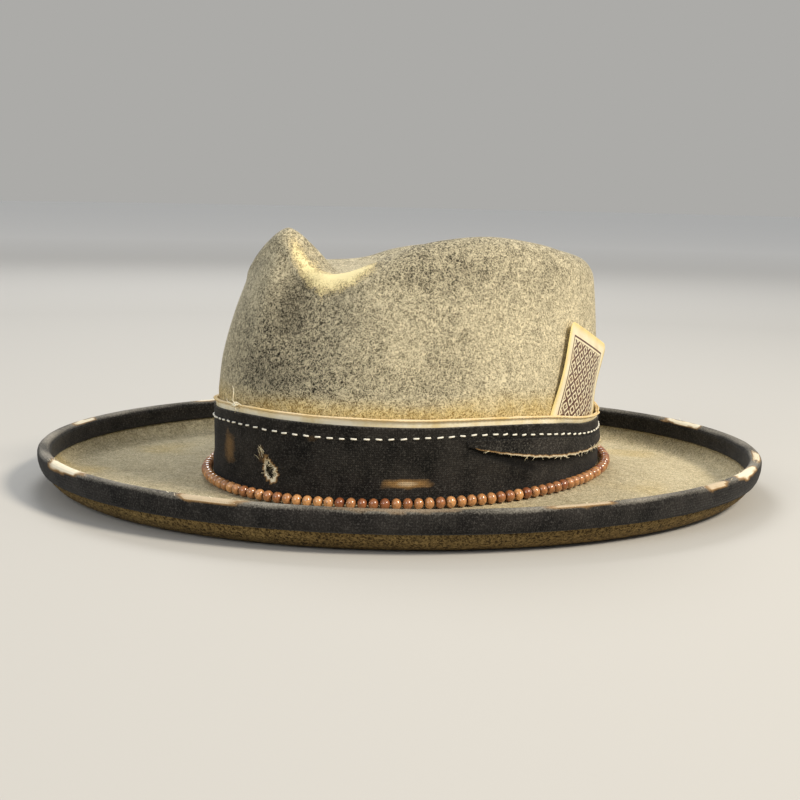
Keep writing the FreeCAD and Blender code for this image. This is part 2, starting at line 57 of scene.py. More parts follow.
camera_data = bpy.data.cameras.new("camera")
camera_data.lens = 76.5
camera_data.sensor_width = 36.0
camera = bpy.data.objects.new("camera", camera_data)
turned = Matrix((RIGHT, UP, -AHEAD)).transposed().to_4x4()
camera.matrix_world = Matrix.Translation((-0.56297, -0.67688, 0.16248)) @ turned
bpy.context.scene.collection.objects.link(camera)
bpy.context.scene.camera = camera
bpy.context.scene.view_settings.view_transform = "Standard"
print("camera stands", round(camera.location.length, 3), "m from the hat")

# %% [markdown]
# ## Colours and nodes
# Cloth and felt colours are easiest to name as sRGB hex values, but a shader works in linear light.
# One function turns one into the other. Another adds any node with its settings and links, in the
# order of its inputs, so that each material below reads as a list of its nodes. A MapRange takes
# its value, then from low and high, then to low and high; a Mix takes its share and then two colours.

# %% Helpers for materials


def linear(hex_colour):
    """sRGB hex to linear RGBA."""
    channels = [int(hex_colour[i:i + 2], 16) / 255 for i in (0, 2, 4)]
    return tuple(c / 12.92 if c <= 0.04045 else ((c + 0.055) / 1.055) ** 2.4 for c in channels) + (1.0,)


def feed(tree, node, inputs):
    """Fills a node's inputs, by order or by name. A hex colour is made linear first, a socket is linked,
    and another node is linked by its factor or else by its first output in use."""
    in_use = [socket for socket in node.inputs if socket.enabled]
    for key, value in inputs.items() if isinstance(inputs, dict) else enumerate(inputs):
        socket = node.inputs[key] if isinstance(key, str) else in_use[key]
        if isinstance(value, bpy.types.Node):
            value = value.outputs.get("Fac") or next(out for out in value.outputs if out.enabled)
        if isinstance(value, bpy.types.NodeSocket):
            tree.links.new(value, socket)
        else:
            socket.default_value = linear(value) if isinstance(value, str) else value


def add_node(tree, kind, inputs=(), **settings):
    """Adds a node of a kind, with its settings, and feeds its inputs."""
    node = tree.nodes.new("ShaderNode" + kind)
    for name, value in settings.items():
        setattr(node, name, value)
    feed(tree, node, inputs)
    return node


def new_material(name, uv_map=None):
    """A bare material: returns it, its tree, its shader, and the place that patterns are drawn by.
    That is in metres on the hat, or in a UV map's own measure."""
    material = bpy.data.materials.new(name)
    material.use_nodes = True
    tree = material.node_tree
    place = (add_node(tree, "UVMap", uv_map=uv_map) if uv_map
             else add_node(tree, "TexCoord").outputs["Object"])
    return material, tree, tree.nodes["Principled BSDF"], place


print("mid grey is", [round(c, 3) for c in linear("808080")[:3]])

# %% [markdown]
# ## Floor and light
# A pale floor and wide, soft lamps show felt best: hard light would hide its mottling.
# The lamp on the right is the stronger one, and the sky fills the shadows.

# %% Floor
bm = bmesh.new()
bmesh.ops.create_circle(bm, cap_ends=True, segments=96, radius=6.0)
floor_mesh = bpy.data.meshes.new("floor")
bm.to_mesh(floor_mesh)
bm.free()
floor = bpy.data.objects.new("floor", floor_mesh)
bpy.context.scene.collection.objects.link(floor)
paper, tree, shader, place = new_material("floor_paper")
from_hat = add_node(tree, "VectorMath", (place,), operation="LENGTH")
# paler away from the lamps, so that the floor looks even
evened = add_node(tree, "MapRange", (from_hat, 1.0, 2.8))
paper_colour = add_node(tree, "Mix", (evened, "C2C0BB", "F8F6F2"), data_type="RGBA")
feed(tree, shader, {"Base Color": paper_colour, "Roughness": 0.9})
floor.data.materials.append(paper)
print("floor is", floor.dimensions.x, "m across")

# %% Lamps and sky


def soft_lamp(name, place, size, watts, hex_colour="FFFFFF"):
    data = bpy.data.lights.new(name, "AREA")
    data.shape = "DISK"
    data.size = size
    data.energy = watts
    data.color = linear(hex_colour)[:3]
    data.spread = math.radians(110)
    lamp = bpy.data.objects.new(name, data)
    lamp.location = place
    lamp.rotation_euler = (-Vector(place)).to_track_quat("-Z", "Y").to_euler()
    bpy.context.scene.collection.objects.link(lamp)


soft_lamp("key", (0.6, -1.9, 1.75), 0.7, 23, "FFF4E2")
soft_lamp("fill", (-1.9, -0.5, 1.0), 1.2, 4.2)
soft_lamp("back", (0.9, 1.5, 1.5), 0.9, 7.4)
world = bpy.data.worlds.new("sky")
world.use_nodes = True
bpy.context.scene.world = world
sky = world.node_tree.nodes["Background"]
path = add_node(world.node_tree, "LightPath").outputs["Is Camera Ray"]
seen = add_node(world.node_tree, "Mix", (path, "D8DADC", "ACABA8"), data_type="RGBA")
level = add_node(world.node_tree, "MapRange", (path, 0.0, 1.0, 0.62, 1.0))
feed(world.node_tree, sky, {"Color": seen, "Strength": level})
print("three lamps and a sky")

# %% [markdown]
# ## The hat's own measures
# Crown pieces are drawn in the crown's frame, in millimetres: bearing 0 is the front of the hat,
# 90 its wearer's left. The crown sits a little nose-down on the brim, so one matrix seats it.

# %% The crown's frame and oval
MM = 0.001
SEATED = (Matrix.Translation((0.0056, 0, 0.0062)) @ Matrix.Rotation(math.radians(-1.89), 4, "Y")
          @ Matrix.Rotation(math.radians(1.37), 4, "X"))
CROWN_LONG, CROWN_WIDE, CROWN_HIGH = 104.5, 87.0, 128.0
BRIM_LONG, BRIM_WIDE = 186.0, 181.0
FELT, CURL, CURL_SWEEP = 2.4, 16.0, 96.0


def oval_reach(long, wide, angle):
    return 1 / math.hypot(math.cos(angle) / long, math.sin(angle) / wide)


def seated(angle, reach, height):
    """Point of the crown's frame, in metres on the hat."""
    return SEATED @ (Vector((reach * math.cos(angle), reach * math.sin(angle), height)) * MM)


def by_crown(bearing, offset, height):
    """Point beside the crown's base oval, in metres."""
    angle = math.radians(bearing + 180)
    return seated(angle, oval_reach(CROWN_LONG + offset, CROWN_WIDE + offset, angle), height)


def going_round(bearing, wide, height):
    """A place that goes round with the bearing, so that noise read there meets itself."""
    angle = math.radians(bearing)
    return Vector((math.cos(angle) * wide, math.sin(angle) * wide, height))


def out_from_crown(bearing, offset=0.0):
    """Directions at a place beside the crown: straight out, on round the oval, and up."""
    on = (by_crown(bearing + 0.5, offset, 0) - by_crown(bearing - 0.5, offset, 0)).normalized()
    up = SEATED.to_3x3() @ Vector((0, 0, 1))
    return on.cross(up).normalized(), on, up


def by_brim(bearing, radius, sweep):
    """Point on the brim's rolled edge, in metres."""
    angle = math.radians(bearing + 180)
    reach = oval_reach(BRIM_LONG, BRIM_WIDE, angle)
    x, y = reach * math.cos(angle), reach * math.sin(angle)
    out = Vector((x / BRIM_LONG**2, y / BRIM_WIDE**2, 0)).normalized()
    middle = Vector((x, y, CURL)) - out * CURL
    turn = math.radians(sweep)
    return (middle + out * (radius * math.sin(turn)) - Vector((0, 0, radius * math.cos(turn)))) * MM


print("crown is", 2 * CROWN_LONG, "by", 2 * CROWN_WIDE, "mm; brim", 2 * BRIM_LONG, "by", 2 * BRIM_WIDE)

# %% [markdown]
# ## Two ways to make a piece
# Cloth and felt are sheets laid round the hat, so one helper bends a grid into place and
# keeps a UV map in real metres for the weave. Cords and threads are a small ring of points
# pulled along a line; a knot is a few of them.

# %% Helper for sheets


def laid_sheet(columns, rows, place, stretch=(1.0, 1.0), closed=True, marks=(), inward=False):
    """Grid of columns by rows, each vertex moved to place(column, row). A closed sheet ends where it
    starts, and an inward one faces the hat's middle. stretch is the UV size in metres, and marks are
    attributes: name, and function of column and row."""
    bm = bmesh.new()
    uv = bm.loops.layers.uv.new("cloth")
    bmesh.ops.create_grid(bm, x_segments=columns, y_segments=rows, size=0.5)
    layers = {mark: bm.verts.layers.float.new(mark) for mark, _ in marks}
    for face in bm.faces:
        for loop in face.loops:
            loop[uv].uv = ((loop.vert.co.x + 0.5) * stretch[0], (loop.vert.co.y + 0.5) * stretch[1])
    for vert in bm.verts:
        i = round((vert.co.x + 0.5) * columns)
        j = round((vert.co.y + 0.5) * rows)
        for mark, value_at in marks:
            vert[layers[mark]] = value_at(i, j)
        vert.co = place(i % columns if closed else i, j)
    if closed:
        bmesh.ops.remove_doubles(bm, verts=bm.verts, dist=1e-6)
    if inward:
        bmesh.ops.reverse_faces(bm, faces=bm.faces)
    return bm


# %% Helper for cords and threads


def edges_within(ring):
    near = {edge for vert in ring for edge in vert.link_edges}
    return [edge for edge in near if edge.verts[0] in ring and edge.verts[1] in ring]


def pull_thread(bm, points, radius, sides=6, closed=False, taper=1.0):
    """Tube of the given radius along points, in metres."""
    count = len(points)
    made = []
    ring = None
    for k, point in enumerate(points):
        before = points[k - 1] if k or closed else point
        after = points[(k + 1) % count] if k < count - 1 or closed else point
        ahead = (after - before).normalized()
        side = ahead.cross(Vector((0, 0, 1)))
        side = side.normalized() if side.length > 1e-4 else Vector((1, 0, 0))
        lift = side.cross(ahead)
        size = radius * (1 - (1 - taper) * k / max(count - 1, 1))
        if ring is None:
            ring = bmesh.ops.create_circle(bm, segments=sides, radius=1.0)["verts"]
        else:
            pulled = bmesh.ops.extrude_edge_only(bm, edges=edges_within(ring))["geom"]
            new = [g for g in pulled if isinstance(g, bmesh.types.BMVert)]
            old_at = {tuple(round(c, 9) for c in v.co): n for n, v in enumerate(ring)}
            ring = sorted(new, key=lambda v: old_at[tuple(round(c, 9) for c in v.co)])
        for n, vert in enumerate(ring):
            a = 2 * math.pi * n / sides
            vert.co = point + (side * math.cos(a) + lift * math.sin(a)) * size
        made.append(ring)
    if closed:
        bmesh.ops.bridge_loops(bm, edges=edges_within(made[0]) + edges_within(made[-1]))
    else:
        for end in (made[0], made[-1]):
            bmesh.ops.contextual_create(bm, geom=end)


def laid_out(at, axes, spots):
    """Points from (on, up, out) in millimetres beside a place, by the directions of out_from_crown."""
    out, on, up = axes
    return [at + (on * x + up * z + out * y) * MM for x, z, y in spots]


WRAP_HIGH, WRAP_THREAD = 1.15, 0.42   # half the height of a knot's wrap, and its thread's radius, in mm


def knot_wraps(bm, at, axes, points, gap, proud, reach, slant):
    """Three slanting rings side by side, which are the wraps of a knot."""
    for wrap in (-1, 0, 1):
        turns = [2 * math.pi * k / points for k in range(points)]
        ring = [(wrap * gap + slant * math.sin(2 * a), WRAP_HIGH * math.sin(a), proud + reach * math.cos(a))
                for a in turns]
        pull_thread(bm, laid_out(at, axes, ring), WRAP_THREAD * MM, closed=True)


# %% Helper that finishes a piece


def finish_piece(name, bm, material, body, replaces=(), thick=0.0, inside=None):
    """Mesh to object, with its material, wall, body and the solids that it stands for."""
    if not thick:
        bmesh.ops.recalc_face_normals(bm, faces=bm.faces)
    mesh = bpy.data.meshes.new(name)
    bm.to_mesh(mesh)
    bm.free()
    mesh.polygons.foreach_set("use_smooth", [True] * len(mesh.polygons))
    piece = bpy.data.objects.new(name, mesh)
    bpy.context.scene.collection.objects.link(piece)
    mesh.materials.append(material)
    if thick:
        wall = piece.modifiers.new("wall", "SOLIDIFY")
        wall.thickness = thick * MM
        wall.offset = -1
    if inside:
        mesh.materials.append(inside)
        wall.material_offset = 1
    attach(piece, body)
    if replaces:
        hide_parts(*replaces)
    print(f"{name}: {len(mesh.polygons)} faces, {[round(s, 3) for s in piece.dimensions]} m")
    return piece


def ease(low, high, value):
    """0 below low, 1 above high, smooth between."""
    share = min(max((value - low) / (high - low), 0), 1)
    return share * share * (3 - 2 * share)


def bump_at(bearing, middle, half):
    """1 at a bearing, fading to 0 over half degrees each side."""
    away = abs((bearing - middle + 180) % 360 - 180)
    return 1 - ease(0, half, away)


# %% [markdown]
# ## Wool felt, bleached and rubbed
# Felt is a mat of short curled hairs, here dark grey wool with ecru hairs all through it, so its
# colour is a salt-and-pepper of both. It was bleached above the band and rubbed pale on the pinch.
# Noise bent by its own distortion gives curled hairs 2 to 3 mm long, and a coarser one the clouds.
# Painted attributes carry the zones, and some of them are painted shade: part of the front's grey, the top,
# and dark patches in hollows and corners. Felt is all tiny ends of hair: rough, with a little sheen.

# %% Felt for the outside
felt, tree, shader, place = new_material("bleached_wool_felt")
# hairs 0.4 mm wide, coarse enough to show: the lines where a noise crosses its middle
strands = []
for scale, twist in ((300.0, 1.3), (390.0, 1.8), (520.0, 1.2)):
    curls = add_node(tree, "TexNoise", {"Vector": place, "Scale": scale, "Detail": 1.0,
                                        "Distortion": twist})
    off = add_node(tree, "Math", (curls, 0.5), operation="SUBTRACT")
    away = add_node(tree, "Math", (off,), operation="ABSOLUTE")
    strands.append(add_node(tree, "MapRange", (away, 0.048, 0.018)))
two = add_node(tree, "Math", strands[:2], operation="MAXIMUM")
mat = add_node(tree, "Math", (two, strands[2]), operation="MAXIMUM")
pepper = add_node(tree, "TexNoise", {"Vector": place, "Scale": 950.0, "Detail": 2.0, "Roughness": 0.7,
                                     "Distortion": 0.8})
clouds = add_node(tree, "TexNoise", {"Vector": place, "Scale": 85.0, "Detail": 4.0, "Roughness": 0.6,
                                     "Distortion": 1.2})
drifts = add_node(tree, "TexNoise", {"Vector": place, "Scale": 17.0, "Detail": 3.0})
zone = {name: add_node(tree, "Attribute", attribute_name=name)
        for name in ("front", "tan", "gold", "painted_shade", "brim")}
speckle = add_node(tree, "MapRange", (pepper, 0.36, 0.64))
both = add_node(tree, "Mix", (0.42, mat, speckle))
cloud_shift = add_node(tree, "MapRange", (clouds, 0.3, 0.7, -0.34, 0.34))
drift_shift = add_node(tree, "MapRange", (drifts, 0.3, 0.7, -0.2, 0.2))
shifts = add_node(tree, "Math", (cloud_shift, drift_shift), operation="ADD")
# grey: partly the felt's own, and partly painted shade on the front and the crown's top
grey_and_shade_here = add_node(tree, "Math", (shifts, 0.7, zone["front"]), operation="MULTIPLY_ADD",
                     use_clamp=True)
thinned = add_node(tree, "Math", (grey_and_shade_here, -0.2, both), operation="MULTIPLY_ADD", use_clamp=True)
calm = add_node(tree, "Math", (zone["brim"], 0.3), operation="MULTIPLY")
salt = add_node(tree, "Mix", (calm, thinned, 0.6))
hair_dark = add_node(tree, "Mix", (grey_and_shade_here, "857C62", "131210"), data_type="RGBA")
hair_light = add_node(tree, "Mix", (grey_and_shade_here, "F1E5C2", "D8CDAC"), data_type="RGBA")
mottled = add_node(tree, "Mix", (salt, hair_dark, hair_light), data_type="RGBA")
tan_here = add_node(tree, "Math", (shifts, zone["tan"], zone["tan"]), operation="MULTIPLY_ADD",
                    use_clamp=True)
tan_hair = add_node(tree, "Mix", (salt, "846930", "F2DDA2"), data_type="RGBA")
tanned = add_node(tree, "Mix", (tan_here, mottled, tan_hair), data_type="RGBA")
gold_edge = add_node(tree, "Math", (salt, 0.9, -0.75), operation="MULTIPLY_ADD")
gold_here = add_node(tree, "Math", (zone["gold"], 1.9, gold_edge), operation="MULTIPLY_ADD",
                     use_clamp=True)
gold_tone = add_node(tree, "Math", (salt, 0.45, zone["gold"]), operation="MULTIPLY_ADD", use_clamp=True)
gold_hair = add_node(tree, "Mix", (gold_tone, "BC8E34", "FBEDB6"), data_type="RGBA")
rubbed = add_node(tree, "Mix", (gold_here, tanned, gold_hair), data_type="RGBA")
# painted shade: darker in the pinch's hollow, at the crown's foot, under the binding's roll and behind the
# band's hole
between = add_node(tree, "Math", (salt, -0.6, 1.0), operation="MULTIPLY_ADD")
painted_shade_here = add_node(tree, "Math", (zone["painted_shade"], between), operation="MULTIPLY", use_clamp=True)
felt_colour = add_node(tree, "Mix", (painted_shade_here, rubbed, "26221A"), data_type="RGBA")
nap = add_node(tree, "Bump", {"Strength": 0.6, "Distance": 0.0004, "Height": both})
feed(tree, shader, {"Base Color": felt_colour, "Normal": nap, "Roughness": 0.95, "Sheen Weight": 0.08,
                    "Sheen Roughness": 0.5, "Specular IOR Level": 0.2})
print("felt mixes", len(tree.nodes), "nodes")

# %% [markdown]
# The brim's underside missed most of the bleach. It is a golden brown with dark speckles about 1 mm across,
# where dye gathered in the nap. Its colour is also kept darker than the felt's own, as painted shade under
# the brim.

# %% Felt for the underside
felt_under_shaded, tree, shader, place = new_material("golden_brown_felt_with_painted_shade")
speckle = add_node(tree, "TexNoise", {"Vector": place, "Scale": 820.0, "Detail": 3.0, "Roughness": 0.6,
                                      "Distortion": 0.9})
clouds = add_node(tree, "TexNoise", {"Vector": place, "Scale": 26.0, "Detail": 3.0})
cover = add_node(tree, "MapRange", (speckle, 0.38, 0.62))
# darker than the felt's own colour: painted shade for the brim's underside
ground = add_node(tree, "Mix", (clouds, "6E5731", "9A8352"), data_type="RGBA")
under_colour = add_node(tree, "Mix", (cover, "30240F", ground), data_type="RGBA")
nap = add_node(tree, "Bump", {"Strength": 0.5, "Distance": 0.0005, "Height": speckle})
feed(tree, shader, {"Base Color": under_colour, "Normal": nap, "Roughness": 0.95,
                    "Specular IOR Level": 0.2})
print("underside felt ready")

# %% [markdown]
# ## Black cotton, and its worn places
# Band and binding are plain-woven cotton, washed black to charcoal. Up close it is threads over and
# under, about 0.5 mm apart: two crossed waves on the cloth's own UV map give that.
# Grey lint sits on it in flecks. Where it was sanded, the brown and then the cream of the raw
# thread show through, which a painted attribute carries.

# %% Washed black cotton
cotton, tree, shader, place = new_material("washed_black_cotton")
cloth = add_node(tree, "UVMap", uv_map="cloth")
# threads 0.55 mm apart, a little coarser than the real ones so that they show
crossed = [add_node(tree, "TexWave", {"Vector": cloth, "Scale": 286.0, "Distortion": 0.6, "Detail": 1.0,
                                      "Detail Scale": 3.0}, bands_direction=way) for way in "XY"]
weave = add_node(tree, "Math", crossed, operation="MULTIPLY")
lint = add_node(tree, "TexNoise", {"Vector": place, "Scale": 1150.0, "Detail": 3.0, "Roughness": 0.75,
                                   "Distortion": 0.4})
fade = add_node(tree, "TexNoise", {"Vector": place, "Scale": 60.0, "Detail": 5.0, "Roughness": 0.65})
fade_amount = add_node(tree, "MapRange", (fade, 0.35, 0.72))
lint_amount = add_node(tree, "MapRange", (lint, 0.5, 0.8, 0.0, 0.45))
dyed = add_node(tree, "Mix", (fade_amount, "0F0E0D", "302D2A"), data_type="RGBA")
linted = add_node(tree, "Mix", (lint_amount, dyed, "77746E"), data_type="RGBA")
rub = add_node(tree, "Attribute", attribute_name="rub")
# edge: grey along edges; along the binding's fold it is dust and a painted highlight
edge = add_node(tree, "Attribute", attribute_name="edge")
edge_rough = add_node(tree, "Math", (edge, lint), operation="MULTIPLY")
edge_amount = add_node(tree, "MapRange", (edge_rough, 0.18, 0.54, 0.0, 0.85))
edged = add_node(tree, "Mix", (edge_amount, linted, "9C978C"), data_type="RGBA")
# painted shade and shadow: in the crease below the torn end's start, and under its torn edge
shade = add_node(tree, "Attribute", attribute_name="shade")
with_painted_shade = add_node(tree, "Mix", (shade, edged, "080707"), data_type="RGBA")
rub_rough = add_node(tree, "Math", (lint, 3.2, -1.6), operation="MULTIPLY_ADD", use_clamp=True)
rub_amount = add_node(tree, "Math", (rub, 1.5, -0.18), operation="MULTIPLY_ADD")
rub_total = add_node(tree, "Math", (rub_rough, rub, rub_amount), operation="MULTIPLY_ADD",
                     use_clamp=True)
rawest = add_node(tree, "MapRange", (rub, 0.55, 0.95))
raw = add_node(tree, "Mix", (rawest, "A07C4C", "F2E9D0"), data_type="RGBA")
cotton_colour = add_node(tree, "Mix", (rub_total, with_painted_shade, raw), data_type="RGBA")
threads = add_node(tree, "Math", (lint, 0.8, weave), operation="MULTIPLY_ADD")
cloth_bump = add_node(tree, "Bump", {"Strength": 0.5, "Distance": 0.0003, "Height": threads})
feed(tree, shader, {"Base Color": cotton_colour, "Normal": cloth_bump, "Roughness": 0.85,
                    "Sheen Weight": 0.07, "Sheen Roughness": 0.4, "Specular IOR Level": 0.14})
print("cotton has", len(tree.nodes), "nodes")

# %% [markdown]
# Undyed cotton is the cream of its own thread, yellower and browner where it was tea-stained.

# %% Cream cotton, for strip, cord and thread
cream, tree, shader, place = new_material("tea_stained_cotton")
stain = add_node(tree, "TexNoise", {"Vector": place, "Scale": 70.0, "Detail": 5.0, "Roughness": 0.65})
fibre = add_node(tree, "TexNoise", {"Vector": place, "Scale": 1500.0, "Detail": 2.0, "Distortion": 0.5})
stain_amount = add_node(tree, "MapRange", (stain, 0.42, 0.68))
edge = add_node(tree, "Attribute", attribute_name="edge")
stained = add_node(tree, "Mix", (stain_amount, "FBF3DA", "E8D5A0"), data_type="RGBA")
edged = add_node(tree, "Mix", (edge, stained, "E6BC68"), data_type="RGBA")
fibred = add_node(tree, "Mix", (0.08, edged, fibre.outputs["Color"]), data_type="RGBA",
                  blend_type="MULTIPLY")
cream_bump = add_node(tree, "Bump", {"Strength": 0.4, "Distance": 0.0002, "Height": fibre})
feed(tree, shader, {"Base Color": fibred, "Normal": cream_bump, "Roughness": 0.8,
                    "Specular IOR Level": 0.3})
print("cream cotton ready")

# %% [markdown]
# Thread, waxed cord, satin and ribbon are plainer: two shades and one pattern between them.
# One function makes all four, and the first is the thread of the stitches.

# %% Helper for plain materials


def two_tone(name, kind, pattern, low, high, finish, relief=0.0, **settings):
    """A material between two hex colours by one pattern, which can also be its relief."""
    material, tree, shader, place = new_material(name)
    texture = add_node(tree, kind, {"Vector": place, **pattern}, **settings)
    colour = add_node(tree, "Mix", (texture, low, high), data_type="RGBA")
    feed(tree, shader, {"Base Color": colour, **finish})
    if relief:
        bump = add_node(tree, "Bump", {"Strength": relief, "Distance": 0.0002, "Height": texture})
        feed(tree, shader, {"Normal": bump})
    return material


white_thread = two_tone("bleached_thread", "TexNoise", {"Scale": 1400.0, "Detail": 2.0},
                        "ECE6D2", "FDFCF4", {"Roughness": 0.7})
print("thread ready")

# %% [markdown]
# ## Waxed beads, card, leather and lining
# Turned wood beads show streaks of grain and each bead took the stain its own way.
# A clear wax gives each a small bright spot. The tone comes from one value painted on each bead, and painted
# shade darkens its ends, where beads meet.

# %% Waxed wood
bead_wood, tree, shader, place = new_material("waxed_turned_wood")
grain = add_node(tree, "TexNoise", {"Vector": place, "Scale": 900.0, "Detail": 3.0, "Roughness": 0.6,
                                    "Distortion": 0.4})
tone = add_node(tree, "Attribute", attribute_name="tone")
ends = add_node(tree, "Attribute", attribute_name="ends")
stained = add_node(tree, "Mix", (tone, "8F4F2B", "E0A468"), data_type="RGBA")
streaks = add_node(tree, "MapRange", (grain, 0.45, 0.75, 0.0, 0.7))
grained = add_node(tree, "Mix", (streaks, stained, "4E2A18"), data_type="RGBA")
# painted shade at each bead's ends, where beads meet
gap_shaded = add_node(tree, "Mix", (ends, grained, "1A0B06"), data_type="RGBA")
feed(tree, shader, {"Base Color": gap_shaded, "Roughness": 0.3, "Coat Weight": 1.0, "Coat Roughness": 0.07})
print("bead wood ready")

# %% [markdown]
# The string is a dark waxed cord; only short lengths of it show, between beads and at its knot.

# %% Dark cord
dark_cord = two_tone("dark_waxed_cord", "TexNoise", {"Scale": 1200.0, "Detail": 2.0},
                     "17110D", "4A382B", {"Roughness": 0.6})
print("cord ready")

# %% [markdown]
# The card is coated paper gone yellow at its edges. Its print is a plain ornament of the kind that
# card backs have: a frame line and a lattice of small lozenges with a dot in each, in worn brown ink.
# Everything follows the card's own UV map, in millimetres.

# %% Printed card
CARD_WIDE, CARD_TALL = 54.0, 62.0
card_stock, tree, shader, print_map = new_material("yellowed_coated_card", "card")
split = add_node(tree, "SeparateXYZ", (print_map,))
margins = []
for channel, half in (("X", CARD_WIDE / 2), ("Y", CARD_TALL / 2)):
    away = add_node(tree, "Math", (split.outputs[channel],), operation="ABSOLUTE")
    margins.append(add_node(tree, "Math", (half, away), operation="SUBTRACT"))
margin = add_node(tree, "Math", margins, operation="MINIMUM")
frame_off = add_node(tree, "Math", (margin, 6.2), operation="SUBTRACT")
frame_away = add_node(tree, "Math", (frame_off,), operation="ABSOLUTE")
frame_line = add_node(tree, "MapRange", (frame_away, 0.35, 0.55, 1.0, 0.0))
field = add_node(tree, "MapRange", (margin, 7.4, 7.7))
# lozenges 8 mm wide and 7 mm tall: two families of slanting lines
slants = []
for way in (1.0, -1.0):
    slant = add_node(tree, "Math", (split.outputs["X"], way * 0.125, 50.0), operation="MULTIPLY_ADD")
    line = add_node(tree, "Math", (split.outputs["Y"], 0.143, slant), operation="MULTIPLY_ADD")
    part = add_node(tree, "Math", (line,), operation="FRACT")
    centred = add_node(tree, "Math", (part, 0.5), operation="SUBTRACT")
    slants.append(add_node(tree, "Math", (centred,), operation="ABSOLUTE"))
lattice = add_node(tree, "Math", slants, operation="MAXIMUM")
lattice_ink = add_node(tree, "MapRange", (lattice, 0.34, 0.38))
dot_ink = add_node(tree, "MapRange", (lattice, 0.2, 0.25, 1.0, 0.0))
ornament = add_node(tree, "Math", (lattice_ink, dot_ink), operation="MAXIMUM")
wear = add_node(tree, "TexNoise", {"Vector": print_map, "Scale": 0.55, "Detail": 5.0,
                                   "Roughness": 0.75})
worn_ink = add_node(tree, "MapRange", (wear, 0.7, 0.52))
inked = add_node(tree, "Math", (ornament, field), operation="MULTIPLY")
ink = add_node(tree, "Math", (inked, worn_ink, frame_line), operation="MULTIPLY_ADD", use_clamp=True)
yellow = add_node(tree, "MapRange", (margin, 3.4, 0.6))
aged = add_node(tree, "Mix", (yellow, "F1E7C6", "F0DA92"), data_type="RGBA")
blot = add_node(tree, "TexNoise", {"Vector": print_map, "Scale": 0.12, "Detail": 4.0})
blotted = add_node(tree, "MapRange", (blot, 0.45, 0.8, 0.0, 0.5))
tinted = add_node(tree, "Mix", (blotted, aged, "C9AE80"), data_type="RGBA")
ink_shade = add_node(tree, "Mix", (blot, "3A2020", "6B4028"), data_type="RGBA")
card_colour = add_node(tree, "Mix", (ink, tinted, ink_shade), data_type="RGBA")
feed(tree, shader, {"Base Color": card_colour, "Roughness": 0.48})
print("card ornament uses", len(tree.nodes), "nodes")

# %% [markdown]
# Inside, the sweatband is vegetable-tanned leather with a fine pebble grain, darkened where a head
# rubs it. The lining is a gold-brown satin: smooth, with a soft gleam along its folds.

# %% Leather, satin and ribbon
leather, tree, shader, place = new_material("tanned_sweat_leather")
pebble = add_node(tree, "TexVoronoi", {"Vector": place, "Scale": 900.0})
wear = add_node(tree, "TexNoise", {"Vector": place, "Scale": 28.0, "Detail": 4.0})
hide = add_node(tree, "Mix", (wear, "5A3B22", "9A6B40"), data_type="RGBA")
grain_bump = add_node(tree, "Bump", {"Strength": 0.35, "Distance": 0.0002, "Height": pebble})
feed(tree, shader, {"Base Color": hide, "Normal": grain_bump, "Roughness": 0.45})

satin = two_tone("lining_satin", "TexNoise", {"Scale": 240.0, "Detail": 3.0, "Distortion": 0.3},
                 "7E6A42", "A8925F", {"Roughness": 0.35, "Sheen Weight": 0.3, "Anisotropic": 0.5})
# grosgrain ribs 0.9 mm apart
ribbon = two_tone("ribbed_brown_ribbon", "TexWave", {"Scale": 175.0, "Distortion": 0.3},
                  "2E2018", "54402F", {"Roughness": 0.6}, relief=0.5, bands_direction="Z")
print("leather, satin and ribbon ready")

# %% [markdown]
# # The pieces
# ## Felt body
# Crown and brim are one felt, pulled over a block and then creased by hand. The crest, the line round
# the crown's top, is the key: it is high at the front peak, drops to the pinch on the left, and rises
# again. Its reach and height at 21 bearings give a smooth closed curve. At every bearing a profile
# then runs from the brim's rolled edge, over the crest, and into the hollow, and a smooth curve
# through it gives the rows of the sheet.

# %% Crest of the crown
CREST = [
    # bearing, reach, height, shoulder, lean
    (0, 0.724, 0.998, 0.070, 1.55),
    (7, 0.722, 0.905, 0.066, 1.4),
    (13, 0.715, 0.846, 0.074, 1.25),
    (23, 0.704, 0.846, 0.090, 1.15),
    (36, 0.716, 0.892, 0.110, 1.2),
    (48, 0.712, 0.940, 0.114, 1.25),
    (62, 0.711, 0.969, 0.115, 1.3),
    (85, 0.738, 0.979, 0.117, 1.5),
    (110, 0.782, 0.945, 0.117, 1.6),
    (135, 0.828, 0.887, 0.117, 1.8),
    (158, 0.832, 0.869, 0.113, 1.6),
    (180, 0.850, 0.875, 0.109, 1.5),
    (202, 0.832, 0.869, 0.113, 1.5),
    (222, 0.800, 0.868, 0.117, 1.5),
    (238, 0.765, 0.850, 0.117, 1.45),
    (254, 0.735, 0.818, 0.115, 1.4),
    (275, 0.712, 0.818, 0.113, 1.4),
    (300, 0.705, 0.833, 0.113, 1.4),
    (318, 0.705, 0.862, 0.125, 1.5),
    (335, 0.696, 0.908, 0.125, 1.6),
    (348, 0.702, 0.968, 0.100, 1.6),
]


def round_value(stations, bearing):
    """Smooth closed curve through (bearing, value) stations."""
    count = len(stations)
    for i in range(count):
        start, end = stations[i], stations[(i + 1) % count]
        span = (end[0] - start[0]) % 360
        ahead = (bearing - start[0]) % 360
        if ahead <= span:
            before, after = stations[i - 1], stations[(i + 2) % count]
            slope_in = (end[1] - before[1]) / ((end[0] - before[0]) % 360) * span
            slope_out = (after[1] - start[1]) / ((after[0] - start[0]) % 360) * span
            u = ahead / span
            return ((2 * u**3 - 3 * u**2 + 1) * start[1] + (u**3 - 2 * u**2 + u) * slope_in
                    + (3 * u**2 - 2 * u**3) * end[1] + (u**3 - u**2) * slope_out)


CREST_CURVES = [[(row[0], row[column]) for row in CREST] for column in (1, 2, 3, 4)]
print("peak", CREST[0][2] * CROWN_HIGH, "mm; pinch", CREST[1][2] * CROWN_HIGH, "mm")

# %% Profile of the felt
STRAIGHT, FLOOR = 46.0, 102.0


